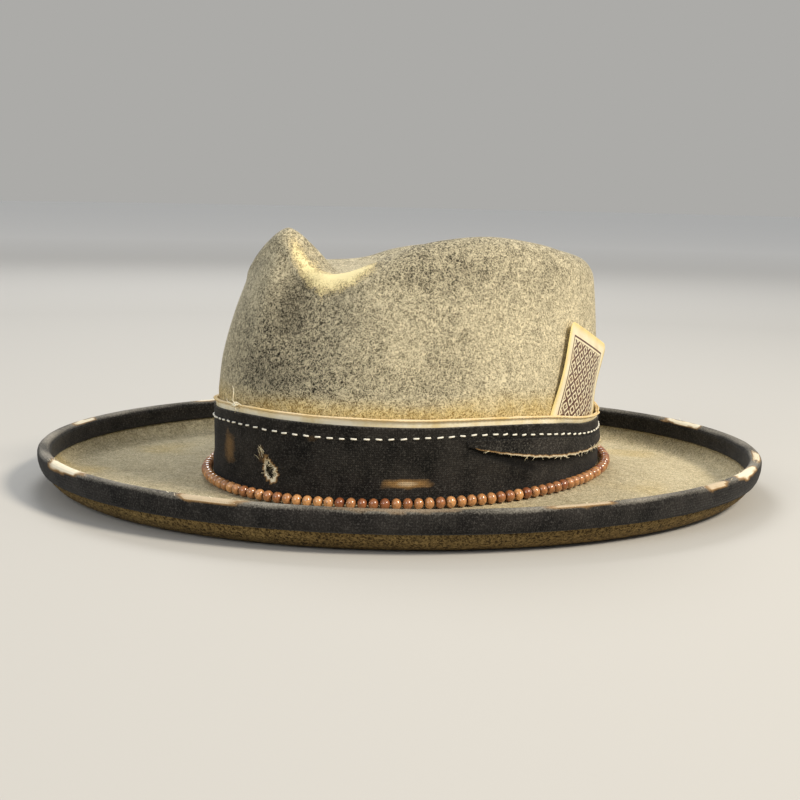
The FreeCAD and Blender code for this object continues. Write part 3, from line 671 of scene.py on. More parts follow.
def crown_profile(bearing):
    """(reach, height) from the brim's inner edge up over the crest to the middle, in the crown's frame."""
    angle = math.radians(bearing + 180)
    base = oval_reach(CROWN_LONG, CROWN_WIDE, angle)
    reach, crest, shoulder, lean = [round_value(curve, bearing) for curve in CREST_CURVES]
    reach, crest, shoulder = reach * base, crest * CROWN_HIGH, shoulder * CROWN_HIGH
    line = [(base + 5.5, 0.5), (base + 1.21, 2.8), (base, 7), (base, 24), (base, 41), (base, STRAIGHT)]
    top = crest - shoulder
    for share in (0.33, 0.66, 1.0):
        line.append((base - (base - reach - shoulder) * share**lean, STRAIGHT + (top - STRAIGHT) * share))
    for degrees in (65, 35):
        turn = math.radians(degrees)
        line.append((reach + shoulder * math.sin(turn), crest - shoulder * (1 - math.cos(turn))))
    line.append((reach, crest))
    line += [(reach * 0.82, FLOOR + (crest - FLOOR) * 0.62), (reach * 0.58, FLOOR + 0.6),
             (reach * 0.25, FLOOR + 1.2), (0.0, FLOOR + 1.4)]
    return line


def smooth_through(points, shares):
    """Smooth curve through points, at places given as point number and share of the way on."""
    span = [0.0]
    for a, b in zip(points, points[1:]):
        span.append(span[-1] + (b - a).length)
    last = len(points) - 1
    slopes = []
    for i in range(len(points)):
        a, b = max(i - 1, 0), min(i + 1, last)
        slopes.append((points[b] - points[a]) / (span[b] - span[a]))
    line = []
    for place in shares:
        i = min(int(place), last - 1)
        u, gap = place - i, span[i + 1] - span[i]
        line.append(points[i] * (2 * u**3 - 3 * u**2 + 1) + slopes[i] * gap * (u**3 - 2 * u**2 + u)
                    + points[i + 1] * (3 * u**2 - 2 * u**3) + slopes[i + 1] * gap * (u**3 - u**2))
    return line


CURL_ROWS, FLAT_BRIM = 14, 0.016   # rows of the roll, and the flat brim inside it, in metres
# rows between each two points of the profile
STEPS = [6, 6, 3, 3, 5, 4, 2, 6, 6, 6, 4, 4, 4, 6, 5, 5, 4, 4]
SHARES = [i + k / n for i, n in enumerate(STEPS) for k in range(n)] + [len(STEPS)]


def felt_rows(bearing):
    """The felt's top side at one bearing, from the brim's cut edge to the crown's middle, in metres."""
    angle = math.radians(bearing + 180)
    curl = [by_brim(bearing, CURL - FELT, CURL_SWEEP * (1 - k / CURL_ROWS)) for k in range(CURL_ROWS)]
    crown = [seated(angle, reach, height) for reach, height in crown_profile(bearing)]
    flat_end = by_brim(bearing, CURL - FELT, 0)
    inward = Vector((flat_end.x, flat_end.y, 0)).normalized()
    flat = flat_end - inward * FLAT_BRIM
    mid = crown[0] + (flat - crown[0]) * 0.45
    mid.z = crown[0].z + (flat.z - crown[0].z) * 0.66   # below a straight line: the brim is a little hollow
    points = [flat_end, flat, mid] + crown
    return curl + smooth_through(points, SHARES)


FELT_COLUMNS = 320
felt_lines = [felt_rows(360 * i / FELT_COLUMNS) for i in range(FELT_COLUMNS)]
FELT_ROWS = len(felt_lines[0]) - 1
print("felt sheet", FELT_COLUMNS, "by", FELT_ROWS)

# %% [markdown]
# No two blocked hats are quite the same: the crown waves by half a millimetre where the hand pressed it.
# The zones of the colour are painted here too, by bearing and height above the band's top edge.

# %% Band's top edge, and its layers
BAND_TOP = 40.4
BAND_EDGE = [
    # bearing, share of the band's height at the front
    (0, 1.0), (18, 1.0), (36, 0.983), (54, 0.958), (72, 0.943), (90, 0.900), (105, 0.837), (123, 0.733),
    (150, 0.675), (180, 0.668), (210, 0.688), (240, 0.728), (270, 0.772), (300, 0.817), (322, 0.861),
    (340, 0.936),
]
STRIP_OUT, BAND_OUT, TUCK_OUT = 1.45, 2.45, 3.25   # each layer's face, out from the crown's oval


def band_top(bearing):
    return BAND_TOP * round_value(BAND_EDGE, bearing)


# %% Felt sheet and its zones
SEATED_BACK = SEATED.inverted()


def felt_place(i, j):
    point = felt_lines[i][j]
    local = SEATED_BACK @ point / MM
    wave = noise.noise(point * 28) * 0.9 + noise.noise(point * 75) * 0.25
    if local.z > 12:
        amount = ease(50, 66, local.z)
        outward = Vector((local.x, local.y, 0)).normalized() * (1 - ease(0.9, 1.0, j / FELT_ROWS))
        return point + (SEATED.to_3x3() @ outward) * wave * amount * MM
    from_edge = ease(CURL_ROWS + 5, CURL_ROWS + 9, j) * (1 - ease(CURL_ROWS + 12, CURL_ROWS + 15, j))
    return point + Vector((0, 0, abs(wave) * from_edge * MM))


def height_at(i, j):
    return (SEATED_BACK @ felt_lines[i % FELT_COLUMNS][j]).z / MM


def bearing_of(i):
    return 360 * i / FELT_COLUMNS


CREST_ROW = CURL_ROWS + sum(STEPS[:14])


def zone_grey_and_shade(i, j):
    """Greyer at the front middle of the crown, low down, and a little on the brim: partly the felt's own
    grey, and partly painted shade on the front and on the crown's top.
    """
    b, z = bearing_of(i), height_at(i, j)
    if z < 14:
        return 0.1
    on_front = 0.98 * bump_at(b, 14, 58) * (1 - 0.55 * ease(84, 112, z))
    around = 0.24 + 0.28 * ease(92, 112, z) + 0.22 * bump_at(b, 58, 30) + 0.1 * bump_at(b, 250, 60)
    around -= 0.24 * bump_at(b, 106, 44) * (1 - 0.8 * ease(78, 98, z))
    return max(on_front, around) * (0.6 + 0.4 * ease(44, 60, z))


def zone_tan(i, j):
    """Warm stain just above the band, uneven round the hat, and faint patches on the brim."""
    b, z = bearing_of(i), height_at(i, j)
    if z < 14:
        return 0.22 + 0.4 * ease(0.1, 0.5, noise.noise(felt_lines[i % FELT_COLUMNS][j] * 24))
    up = z - band_top(b) - 3.8
    tall = 11 + 5 * noise.noise(going_round(b, 2.2, 3)) + 4 * bump_at(b, 95, 35) - 3 * bump_at(b, 10, 30)
    return (1 - ease(1, tall, up)) * ease(-14, -6, up) * (1.0 - 0.3 * bump_at(b, 4, 24))


def zone_gold(i, j):
    """Rubbed pale on the pinch, left of the front peak, and ragged up towards the peak."""
    b = bearing_of(i)
    wide = 4.8 + 4.4 * bump_at(b, 19, 17)
    ragged = 1 + 0.5 * noise.noise(Vector((b * 0.8, j * 0.6, 4)))
    across = 1 - min(abs(j - (CREST_ROW - 4.6)) / wide / ragged, 1)
    along = ease(0, 7, b) * (1 - ease(30, 42, b))
    return max(0.0, across) ** 0.6 * along * (0.75 + 0.25 * ease(9, 15, b))


def zone_painted_shade(i, j):
    """Painted shade, in soft dark patches: in the pinch's hollow beside the peak and below the pinch, where
    the crown meets the brim, under the binding's roll, and on the felt seen through the band's hole.
    """
    b, z = bearing_of(i), height_at(i, j)
    beside = bump_at(b, 10, 10) * ease(70, 90, z) * (1 - ease(103, 113, z)) * (j <= CREST_ROW)
    below = 0.45 * bump_at(b, 8, 16) * ease(50, 58, z) * (1 - ease(64, 76, z))
    foot = (1 - ease(2, 9, z)) * ease(-8, 1, z) * 0.35
    fold = 0.55 * (1 - ease(CURL_ROWS - 9, CURL_ROWS - 3, j))
    near_hole = bump_at(b, 11.2, 5) * ease(4, 8, z) * (1 - ease(22, 27, z)) * 1.7
    return max(0.85 * beside, below, foot, fold, near_hole)


def zone_brim(i, j):
    return 1 - ease(4, 12, height_at(i, j))


bm = laid_sheet(FELT_COLUMNS, FELT_ROWS, felt_place,
                marks=[("front", zone_grey_and_shade), ("tan", zone_tan), ("gold", zone_gold),
                       ("painted_shade", zone_painted_shade), ("brim", zone_brim)])
finish_piece("felt_crown_and_brim", bm, felt, "hat", ["felt_body"],
             thick=FELT - 0.1, inside=felt_under_shaded)

# %% [markdown]
# ## Binding
# A bias strip of black cotton is folded over the brim's cut edge, about 8 mm down each side.
# Its outside is one sheet: down the inner side, round the fold, and down the outer side.
# Its fold is grey with dust and a painted highlight, and sanding has worn it through to the cream of the raw
# thread in a few places.

# %% Binding
BINDING_COLUMNS, SIDE_ROWS, FOLD_ROWS = 440, 6, 8
# in mm, how far it lies off the felt; in degrees of the roll, its inner side, its outer side, and how
# far past the cut edge it folds
BINDING_OUT, INNER_SIDE, OUTER_SIDE, FOLD_PAST = 0.85, 32, 27, 0.4
RUBBED = [
    # bearing, half width in degrees, place across the strip, half width across it, strength
    (352, 10, 0.57, 0.17, 1.0), (306, 7, 0.49, 0.09, 1.0), (271, 5, 0.52, 0.09, 1.0),
    (24, 9, 0.56, 0.17, 0.74), (76, 9, 0.55, 0.12, 0.72), (104, 6, 0.57, 0.14, 0.74),
    (116, 8, 0.56, 0.17, 0.92), (168, 8, 0.47, 0.12, 1.0), (131, 8, 0.55, 0.12, 0.85),
    (50, 16, 0.56, 0.12, 0.3), (215, 8, 0.55, 0.13, 0.7), (243, 5, 0.48, 0.12, 0.8), (196, 4, 0.46, 0.1, 0.6),
]
binding_rows = SIDE_ROWS * 2 + FOLD_ROWS


def binding_place(i, j):
    """The strip in section: up the inner side, round a full, soft fold, and down the outer side."""
    bearing = 360 * i / BINDING_COLUMNS
    inner, outer = CURL - FELT - BINDING_OUT, CURL + BINDING_OUT
    middle, half = (inner + outer) / 2, (outer - inner) / 2
    spot = by_brim(bearing, CURL, 20 + 8 * j)
    full = 0.75 * ease(0, 7, min(j, binding_rows - j)) + 0.1
    full += abs(noise.noise(spot * 95) * 0.16 + noise.noise(spot * 300) * 0.08)
    full -= 0.3 * (1 - ease(0, 1.4, min(j, binding_rows - j)))
    if j <= SIDE_ROWS:
        up = (INNER_SIDE + FOLD_PAST) * j / SIDE_ROWS
        return by_brim(bearing, inner - full, CURL_SWEEP - INNER_SIDE + up)
    if j >= SIDE_ROWS + FOLD_ROWS:
        up = (OUTER_SIDE + FOLD_PAST) * (binding_rows - j) / SIDE_ROWS
        return by_brim(bearing, outer + full, CURL_SWEEP - OUTER_SIDE + up)
    turn = math.pi * (j - SIDE_ROWS) / FOLD_ROWS
    past = math.degrees((half + 0.5 * full) * math.sin(turn) / middle)
    return by_brim(bearing, middle - (half + full) * math.cos(turn), CURL_SWEEP + FOLD_PAST + past)


def binding_rub(i, j):
    bearing, across = 360 * i / BINDING_COLUMNS, j / binding_rows
    best = 0.0
    for middle, half, centre, width, strength in RUBBED:
        ragged = 1 + 0.5 * noise.noise(Vector((bearing * 0.35, across * 9, middle)))
        near = 1 - ease(0.25, 1.0, abs(across - centre) / width / ragged)
        near *= bump_at(bearing, middle, half * ragged)
        best = max(best, ease(0.1, 0.55, near) * strength)
    return best


def binding_dust_and_highlight(i, j):
    """Grey along the fold: dust, and a painted highlight along the top of the roll."""
    across = j / binding_rows
    uneven = 0.8 + 0.5 * noise.noise(Vector((i * 0.09, across * 5, 2)))
    return (1 - ease(0.05, 0.22, abs(across - 0.53))) * uneven


bm = laid_sheet(BINDING_COLUMNS, binding_rows, binding_place,
                stretch=(1.153, 0.024), marks=[("rub", binding_rub), ("edge", binding_dust_and_highlight)])
finish_piece("binding_bias_strip", bm, cotton, "hat", ["brim_binding"], thick=0.5)

# %% [markdown]
# ## Cream strip, band and torn end
# The band is wrapped over a raw cream strip, which stands 4 mm out of its top. Both are sheets
# laid round the crown, a layer apart. The band waves a little, and its lower hem swings out a little
# at the front. A worn hole is cut through it, where felt shows beneath.

# %% Strip
STRIP_COLUMNS, STRIP_ROWS = 360, 8


def over_card(bearing):
    """How far strip and cord stand out where the card is tucked behind them, in mm."""
    return 1.8 * ease(103, 108, bearing) * (1 - ease(133, 140, bearing))


def strip_place(i, j):
    bearing = 360 * i / STRIP_COLUMNS
    wave = noise.noise(going_round(bearing, 7, 2.8))
    height = band_top(bearing) - 6 + (9.8 + 0.22 * wave) * j / STRIP_ROWS
    return by_crown(bearing, STRIP_OUT + 0.05 * wave + over_card(bearing) * ease(4.6, 6.2, j), height)


bm = laid_sheet(STRIP_COLUMNS, STRIP_ROWS, strip_place, stretch=(0.62, 0.0098),
                marks=[("edge", lambda i, j: 0.35 * ease(6.6, 7.6, j))])
strip_piece = finish_piece("cream_cotton_strip", bm, cream, "hat", ["cream_strip"],
                           thick=0.45)

# %% Band, with its hem and its hole
BAND_COLUMNS, BAND_ROWS, BAND_FOOT = 520, 34, 3.6
# the hole: bearing, height and lean, half width and half height, and the band's reach there, in mm
HOLE_AT, HOLE_HIGH, HOLE_LEAN = 11.2, 15.3, math.radians(25)
HOLE_HALF_WIDE, HOLE_HALF_TALL, HOLE_REACH = 2.5, 4.9, 104
WORN = [
    # bearing, half width in degrees, height, half height, strength
    (-6.0, 5.5, 21.5, 12.0, 0.4), (49.5, 11, 12.2, 3.2, 0.68), (24, 4, 33, 3, 0.2),
    (200, 12, 14, 4, 0.5), (282, 9, 24, 7, 0.42), (240, 7, 10, 3, 0.5),
]
MOST_OUT = 3.1   # the band's face stays inside the torn end's


def band_spot(i, j):
    """Bearing and height of the band's sheet."""
    bearing = 360 * i / BAND_COLUMNS
    return bearing, BAND_FOOT + (band_top(bearing) - BAND_FOOT) * j / BAND_ROWS


def band_foot_swing(bearing, height):
    """How far the lower hem swings out, in mm."""
    low = 1 - ease(4, 15, height)
    return low * (0.5 + 1.5 * bump_at(bearing, -22, 34) + 0.3 * math.sin(math.radians(bearing * 7)))


def crease_line(bearing):
    """Height of the slanting crease that starts where the wrap's torn end does."""
    return 27.0 - 0.52 * (bearing - 67)


def band_place(i, j):
    bearing, height = band_spot(i, j)
    spot = going_round(bearing, 4, height * 0.06)
    ripple = noise.noise(spot) * 0.16 + noise.noise(spot * 3.3) * 0.07
    free = ease(BAND_TOP - 1, BAND_TOP - 12, height)
    groove = 0.048 * (1 - ease(0, 1.333, abs(height - BAND_TOP + 5.3)))   # drawn in by the stitches
    raised = 0.28 * (1 - ease(1.0, 2.2, math.hypot(*hole_place(bearing, height))))
    below = crease_line(bearing) - height
    lip = 0.6 * ease(0, 0.9, below) * (1 - ease(1.2, 9, below))
    lip *= ease(68, 74, bearing) * (1 - ease(90, 98, bearing))
    offset = BAND_OUT + lip + ripple * max(free, 0.25) - groove + band_foot_swing(bearing, height) + raised
    return by_crown(bearing, min(offset, MOST_OUT), height)


def hole_narrow(rise):
    """The hole is a drop: it narrows upwards, rise being in mm along its slanting axis."""
    return 1.15 - 0.4 * ease(0, 5, rise)


def hole_place(bearing, height):
    """Place beside the hole, in half widths along its slanting axes."""
    across = ((bearing - HOLE_AT + 180) % 360 - 180) * math.radians(1) * HOLE_REACH
    up = height - HOLE_HIGH
    along = across * math.cos(HOLE_LEAN) + up * math.sin(HOLE_LEAN)
    rise = up * math.cos(HOLE_LEAN) - across * math.sin(HOLE_LEAN)
    return along / (HOLE_HALF_WIDE * hole_narrow(rise)), rise / HOLE_HALF_TALL


def band_rub(i, j):
    """Raw thread round the hole, up from it, and in worn patches."""
    bearing, height = band_spot(i, j)
    uneven = 1 + 0.35 * noise.noise(Vector((bearing * 1.3, height * 0.8, 0)))
    round_hole = 1.0 - ease(1.05, 1.6, math.hypot(*hole_place(bearing, height)) * uneven)
    fray_up = bump_at(bearing, 8.0, 2.2) * (1 - ease(2.5, 6.5, abs(height - 22.5))) * 0.25
    best = max(round_hole, fray_up)
    for middle, half, centre, tall, strength in WORN:
        ragged = 1 + 0.4 * noise.noise(Vector((bearing * 0.5, height * 0.5, middle)))
        patch = 1 - ease(0.2, 1.0, abs(height - centre) / tall / ragged)
        best = max(best, bump_at(bearing, middle, half * ragged) * patch * strength)
    return best


TUCK_FROM, TUCK_SWEEP, TUCK_COLUMNS, TUCK_ROWS = 67.5, 120.0, 170, 12


def tuck_foot(bearing):
    """Height of the torn edge: it drops from the strip, then runs level, and is ragged all along."""
    along = (bearing - TUCK_FROM) / TUCK_SWEEP
    ragged = 0.5 * noise.noise(Vector((bearing * 0.45, 2, 0)))
    ragged += 0.35 * noise.noise(Vector((bearing * 1.7, 5, 0)))
    return 15.4 + 13.1 * (1 - min(along / 0.5, 1)) ** 2 + ragged


def band_shade(i, j):
    """Painted shade in the crease down from the start of the torn edge, and painted shadow under that edge.
    """
    bearing, height = band_spot(i, j)
    below = crease_line(bearing) - height
    crease = ease(66, 72, bearing) * (1 - ease(90, 98, bearing)) * (1 - ease(0.5, 2.6, abs(below + 0.6)))
    past = tuck_foot(bearing) - height
    under = ease(72, 80, bearing) * (1 - ease(176, 186, bearing)) * ease(0, 3, past + 2)
    return max(0.85 * crease, 0.75 * under * (1 - ease(1.5, 5.5, past)))


def band_edge(i, j):
    """Grey along the band's two edges."""
    return 0.5 * (1 - ease(0, 2.2, BAND_ROWS - j)) + 0.4 * (1 - ease(0, 2.0, j))


bm = laid_sheet(BAND_COLUMNS, BAND_ROWS, band_place,
                stretch=(0.63, 0.036), marks=[("rub", band_rub), ("edge", band_edge), ("shade", band_shade)])
gone = []
for face in bm.faces:
    local = SEATED_BACK @ face.calc_center_median() / MM
    bearing = math.degrees(math.atan2(local.y, local.x)) - 180
    ragged = 0.98 + 0.16 * noise.noise(Vector((bearing * 2.1, local.z * 1.7, 5)))
    if math.hypot(*hole_place(bearing, local.z)) < ragged:
        gone.append(face)
bmesh.ops.delete(bm, geom=gone, context="FACES")
print("hole takes", len(gone), "faces")
band_piece = finish_piece("black_band", bm, cotton, "hat", ["hat_band"], thick=0.8)

# %% [markdown]
# The wrap's outer end is torn and only tacked down, from the left side round to the back.
# Its lower edge stands off the band and throws a shadow; the torn edge shows cream and orange thread.

# %% Torn end of the wrap


def tuck_place(i, j):
    bearing = TUCK_FROM + TUCK_SWEEP * i / TUCK_COLUMNS
    head = band_top(bearing) - 6.9
    foot = min(tuck_foot(bearing), head - 0.6)
    up = j / TUCK_ROWS
    lift = 1.2 * (1 - up) ** 1.6 * ease(0, 12, bearing - TUCK_FROM) * (0.8 + 0.3 * math.sin(bearing * 0.21))
    return by_crown(bearing, TUCK_OUT + lift, foot + (head - foot) * up)


def tuck_edge_rub(i, j):
    """Raw thread along the torn edge, orange at its start and cream further on."""
    bearing = TUCK_FROM + TUCK_SWEEP * i / TUCK_COLUMNS
    ragged = 1.3 + 0.9 * noise.noise(Vector((bearing * 0.8, 9, 0)))
    tone = 0.66 + 0.34 * ease(74, 84, bearing)
    return tone * (1 - ease(0.5, 0.9 + 0.7 * ragged, j)) if i > 3 else 0.0


bm = laid_sheet(TUCK_COLUMNS, TUCK_ROWS, tuck_place, stretch=(0.2, 0.012), closed=False,
                marks=[("rub", tuck_edge_rub), ("edge", lambda i, j: 0.35)])
tuck_piece = finish_piece("torn_end_of_band", bm, cotton, "hat", ["band_tuck"], thick=0.55)

# %% [markdown]
# ## Running stitches
# One row of cream stitches, 5.8 mm apart, runs right round. Each is a short cushion of thread that dips
# in at its ends. Sewn by hand, they vary a little in length and slant.

# %% Stitches


def even_bearings(offset, pitch):
    """Bearings one pitch apart round the oval, from the back."""
    fine = 3600
    length, before = [0.0], by_crown(180, offset, 0)
    for k in range(1, fine + 1):
        point = by_crown(180 + k / 10, offset, 0)
        length.append(length[-1] + (point - before).length / MM)
        before = point
    count = int(length[-1] // pitch)
    spots, at = [], 0
    for k in range(count):
        while length[at] < length[-1] * k / count:
            at += 1
        spots.append(180 + at / 10)
    return spots


def stitch_drop(bearing):
    """How far the row of stitches runs below the band's top edge: it wanders a little."""
    return 5.3 + 1.1 * bump_at(bearing, 25, 30) - 1.1 * bump_at(bearing, 70, 28)


STITCH_PITCH = 5.8
chance = random.Random(7)
bm = bmesh.new()
for spot in even_bearings(2.5, STITCH_PITCH):
    bearing = spot + chance.uniform(-0.12, 0.12)
    out, on, up = out_from_crown(bearing, BAND_OUT)
    half = chance.uniform(1.05, 1.35) * MM
    lean = chance.uniform(-0.16, 0.16) * MM
    height = band_top(bearing) - stitch_drop(bearing) + chance.uniform(-0.12, 0.12)
    middle = by_crown(bearing, BAND_OUT, height)
    points = [middle + on * half * t + up * lean * t + out * h * MM
              for t, h in ((-1.0, 0.02), (-0.75, 0.32), (0, 0.42), (0.75, 0.32), (1.0, 0.02))]
    pull_thread(bm, points, 0.46 * MM)
finish_piece("cream_stitches", bm, white_thread, "hat", ["running_stitches"])

# %% [markdown]
# ## Cord along the strip, and its knot
# A thin cord is couched along the strip's top and tied at the front. It is drawn as two plies
# twisted round each other, which is what makes it read as cord and not as wire.

# %% Two-ply cord
# how far out it lies, its points and turns, a ply's radius, and how far that is off the cord's middle
CORD_OUT, CORD_STEPS, CORD_TURNS, PLY, PLY_OFF = 2.25, 900, 124, 0.36, 0.27


def cord_line(bearing):
    sway = noise.noise(going_round(bearing, 9, 18))
    height = band_top(bearing) + 3.4 + 0.3 * sway
    return by_crown(bearing, CORD_OUT + 0.12 * sway + over_card(bearing), height)


bm = bmesh.new()
golden = bm.verts.layers.float.new("edge")
for ply in (0, math.pi):
    points = []
    for k in range(CORD_STEPS):
        bearing = 360 * k / CORD_STEPS
        out, on, up = out_from_crown(bearing, CORD_OUT)
        turn = ply + 2 * math.pi * CORD_TURNS * k / CORD_STEPS
        points.append(cord_line(bearing) + (out * math.cos(turn) + up * math.sin(turn)) * PLY_OFF * MM)
    pull_thread(bm, points, PLY * MM, sides=5, closed=True)
for vert in bm.verts:
    vert[golden] = 0.45
finish_piece("couched_cord", bm, cream, "hat", ["edge_cord"])

# %% Knot at the front
bm = bmesh.new()
knot_at, axes = cord_line(-2.0), out_from_crown(-2.0, CORD_OUT)
knot_wraps(bm, knot_at, axes, points=14, gap=0.9, proud=0.35, reach=1.05, slant=0.45)
across = [(-3.2, -1.2, 0.5), (-1.2, 0.3, 1.7), (1.0, -0.4, 1.8), (3.4, 0.9, 0.6)]
pull_thread(bm, laid_out(knot_at, axes, across), 0.4 * MM)
for tail in [
    [(0.3, 0.4, 1.2), (-0.4, 2.2, 1.9), (-0.2, 4.4, 1.7), (-0.9, 7.0, 1.0), (-2.0, 9.2, 0.9)],
    [(-1.0, -0.2, 1.3), (-3.2, 0.9, 2.1), (-5.6, 1.0, 1.6), (-7.4, 2.0, 1.2)],
    [(0.9, -0.3, 1.3), (1.9, -2.0, 1.7), (1.5, -3.6, 1.9)],
    [(0.6, 0.3, 1.2), (2.6, 1.6, 1.7), (4.7, 1.3, 1.3), (6.5, 0.6, 0.9)],
]:
    pull_thread(bm, laid_out(knot_at, axes, tail), 0.3 * MM, sides=5, taper=0.5)
finish_piece("cord_knot_and_tails", bm, cream, "hat", ["cord_knot"])

# %% [markdown]
# ## Wooden beads
# A loose string of small turned beads lies round the foot of the band. One bead is a short profile
# spun round its bore; copies are set along the string with a little turn and size of their own.
# A bead is repeated over a hundred times, so it has only 70 faces.

# %% One bead
BEAD_OUT, BEAD_HIGH, BEAD_PITCH = 6.45, 3.5, 5.3
# from the bore out to the bead's girth and back: radius, and place along the string
profile = [(0.7, 2.4), (1.55, 2.2), (2.4, 1.5), (2.86, 0.52),
           (2.86, -0.52), (2.4, -1.5), (1.55, -2.2), (0.7, -2.4)]
bm = bmesh.new()
verts = [bm.verts.new(Vector((r, 0, z)) * MM) for r, z in profile]
edges = [bm.edges.new(pair) for pair in zip(verts, verts[1:])]
bmesh.ops.spin(bm, geom=verts + edges, cent=(0, 0, 0), axis=(0, 0, 1), angle=2 * math.pi, steps=10,
               use_merge=True, use_duplicate=False)
bmesh.ops.remove_doubles(bm, verts=bm.verts, dist=1e-6)
bmesh.ops.recalc_face_normals(bm, faces=bm.faces)
bead_mesh = bpy.data.meshes.new("one_bead")
bm.to_mesh(bead_mesh)
bm.free()
print("one bead has", len(bead_mesh.polygons), "faces")

# %% The string of beads
bead_spots = even_bearings(BEAD_OUT, BEAD_PITCH)
chance = random.Random(11)
bm = bmesh.new()
tone_layer = bm.verts.layers.float.new("tone")
gap_shade_layer = bm.verts.layers.float.new("ends")
for spot in bead_spots[1:]:
    out, on, up = out_from_crown(spot, BEAD_OUT)
    start = len(bm.verts)
    bm.from_mesh(bead_mesh)
    bm.verts.ensure_lookup_table()
    new = bm.verts[start:]
    tone = chance.uniform(0.0, 1.0)
    for vert in new:
        vert[tone_layer] = tone
        # painted shade at the bead's ends, round the bore, where it meets the next bead
        at_end = ease(2.0, 2.4, abs(vert.co.z) / MM)
        vert[gap_shade_layer] = 0.8 * at_end * (1 - ease(1.2, 1.9, vert.co.xy.length / MM))
    size = chance.uniform(0.965, 1.01)
    turned = Matrix((out, up, on)).transposed().to_4x4()
    spun = Matrix.Rotation(chance.uniform(0, 6.3), 4, "Z") @ Matrix.Diagonal((size, size, size * 0.98, 1))
    tilt = Matrix.Identity(4)
    for axis in ("X", "Y"):
        tilt = tilt @ Matrix.Rotation(chance.uniform(-0.07, 0.07), 4, axis)
    place = Matrix.Translation(by_crown(spot, BEAD_OUT + chance.uniform(-0.1, 0.12), BEAD_HIGH))
    bmesh.ops.transform(bm, matrix=place @ turned @ tilt @ spun, verts=new)
finish_piece("turned_beads", bm, bead_wood, "bead_loop", ["wooden_beads"])

# %% String and its knot
bm = bmesh.new()
points = [by_crown(360 * k / 240, BEAD_OUT, BEAD_HIGH) for k in range(240)]
pull_thread(bm, points, 0.45 * MM, closed=True)
finish_piece("bead_string_cord", bm, dark_cord, "bead_loop", ["bead_string"])
bm = bmesh.new()
knot_at = by_crown(bead_spots[0], BEAD_OUT, BEAD_HIGH)
axes = out_from_crown(bead_spots[0], BEAD_OUT)
knot_wraps(bm, knot_at, axes, points=12, gap=0.8, proud=0, reach=1.15, slant=0.5)
for side in (-1, 1):
    tail = [(0.0, 0.8, 0.4), (0.8 * side, 1.7, 1.0), (1.7 * side, 1.4, 1.7), (2.4 * side, 0.2, 1.9)]
    pull_thread(bm, laid_out(knot_at, axes, tail), 0.38 * MM)
finish_piece("bead_string_knot", bm, dark_cord, "bead_loop", ["string_knot"])

# %% [markdown]
# ## The tucked card
# A card is cut flat and then bent. A rectangle has its corners rounded and is cut across both ways,
# so that it can bend. Then it is laid against the crown, slanting, and given the thickness of card
# stock. It keeps a UV map in millimetres.

# %% Card
CARD_BEARING, CARD_LOW, CARD_TILT, CARD_CORNER = 121.6, 14.4, math.radians(20), 4.0
CARD_OUT, CARD_STEP = 0.58, 1.5   # off the felt, and between the cuts that let the card bend
bm = bmesh.new()
bmesh.ops.create_grid(bm, x_segments=1, y_segments=1, size=0.5)
bmesh.ops.scale(bm, vec=(CARD_WIDE, CARD_TALL, 1), verts=bm.verts)
bmesh.ops.bevel(bm, geom=list(bm.verts), affect="VERTICES", offset=CARD_CORNER, segments=6, profile=0.5,
                material=-1)
for axis, half in ((0, CARD_WIDE / 2), (1, CARD_TALL / 2)):
    place = -half + CARD_STEP
    while place < half - 0.2:
        point, normal = Vector((0, 0, 0)), Vector((0, 0, 0))
        point[axis], normal[axis] = place, 1
        bmesh.ops.bisect_plane(bm, geom=bm.verts[:] + bm.edges[:] + bm.faces[:],
                               plane_co=point, plane_no=normal)
        place += CARD_STEP
print("card blank has", len(bm.faces), "faces")
card_map = bm.loops.layers.uv.new("card")
for face in bm.faces:
    for loop in face.loops:
        loop[card_map].uv = loop.vert.co.xy
CARD_ON = out_from_crown(CARD_BEARING)[1]


def card_spot(x, y):
    """A place on the flat card, laid on the crown: x runs round it, y up. Steps of a quarter degree
    walk the card's length round the oval; its upper half stands off, nearly flat."""
    along = x * math.cos(CARD_TILT) + y * math.sin(CARD_TILT)
    height = CARD_LOW + CARD_TALL / 2 + y * math.cos(CARD_TILT) - x * math.sin(CARD_TILT)
    bearing, left = CARD_BEARING, abs(along)
    step = 0.25 if along > 0 else -0.25
    while left > 0:
        gap = (by_crown(bearing + step, 0.5, 0) - by_crown(bearing, 0.5, 0)).length / MM
        part = min(1.0, left / gap)
        bearing += step * part
        left -= gap * part
        if part < 1:
            break
    bent = by_crown(bearing, CARD_OUT, height)
    flat = by_crown(CARD_BEARING, CARD_OUT, height) + CARD_ON * along * MM
    return bent.lerp(flat, 0.8 * ease(36, 66, height))


for vert in bm.verts:
    vert.co = card_spot(vert.co.x, vert.co.y)
bmesh.ops.recalc_face_normals(bm, faces=bm.faces)
out, on, up = out_from_crown(CARD_BEARING)
bm.faces.ensure_lookup_table()
if sum(face.normal.dot(out) for face in bm.faces) < 0:
    bmesh.ops.reverse_faces(bm, faces=bm.faces)
finish_piece("tucked_card", bm, card_stock, "card", ["playing_card"], thick=0.28)

# %% [markdown]
# ## Inside the crown
# The lining is a satin side, gathered where it meets its flat tip, with a corded seam between.
# Below it the leather sweatband runs round the foot, joined to the felt by a covered reed.

# %% Lining
# lining's reach beside the crown's oval, height of its tip, and the tip's share of the oval
LINING_FACE, LINING_TOP, LINING_SHARE = -2.95, 88.0, 0.755
LINING_COLUMNS, LINING_ROWS, LINING_PLEATS = 300, 18, 60
TIP_COLUMNS, TIP_ROWS, TIP_IN = 96, 14, 3.3


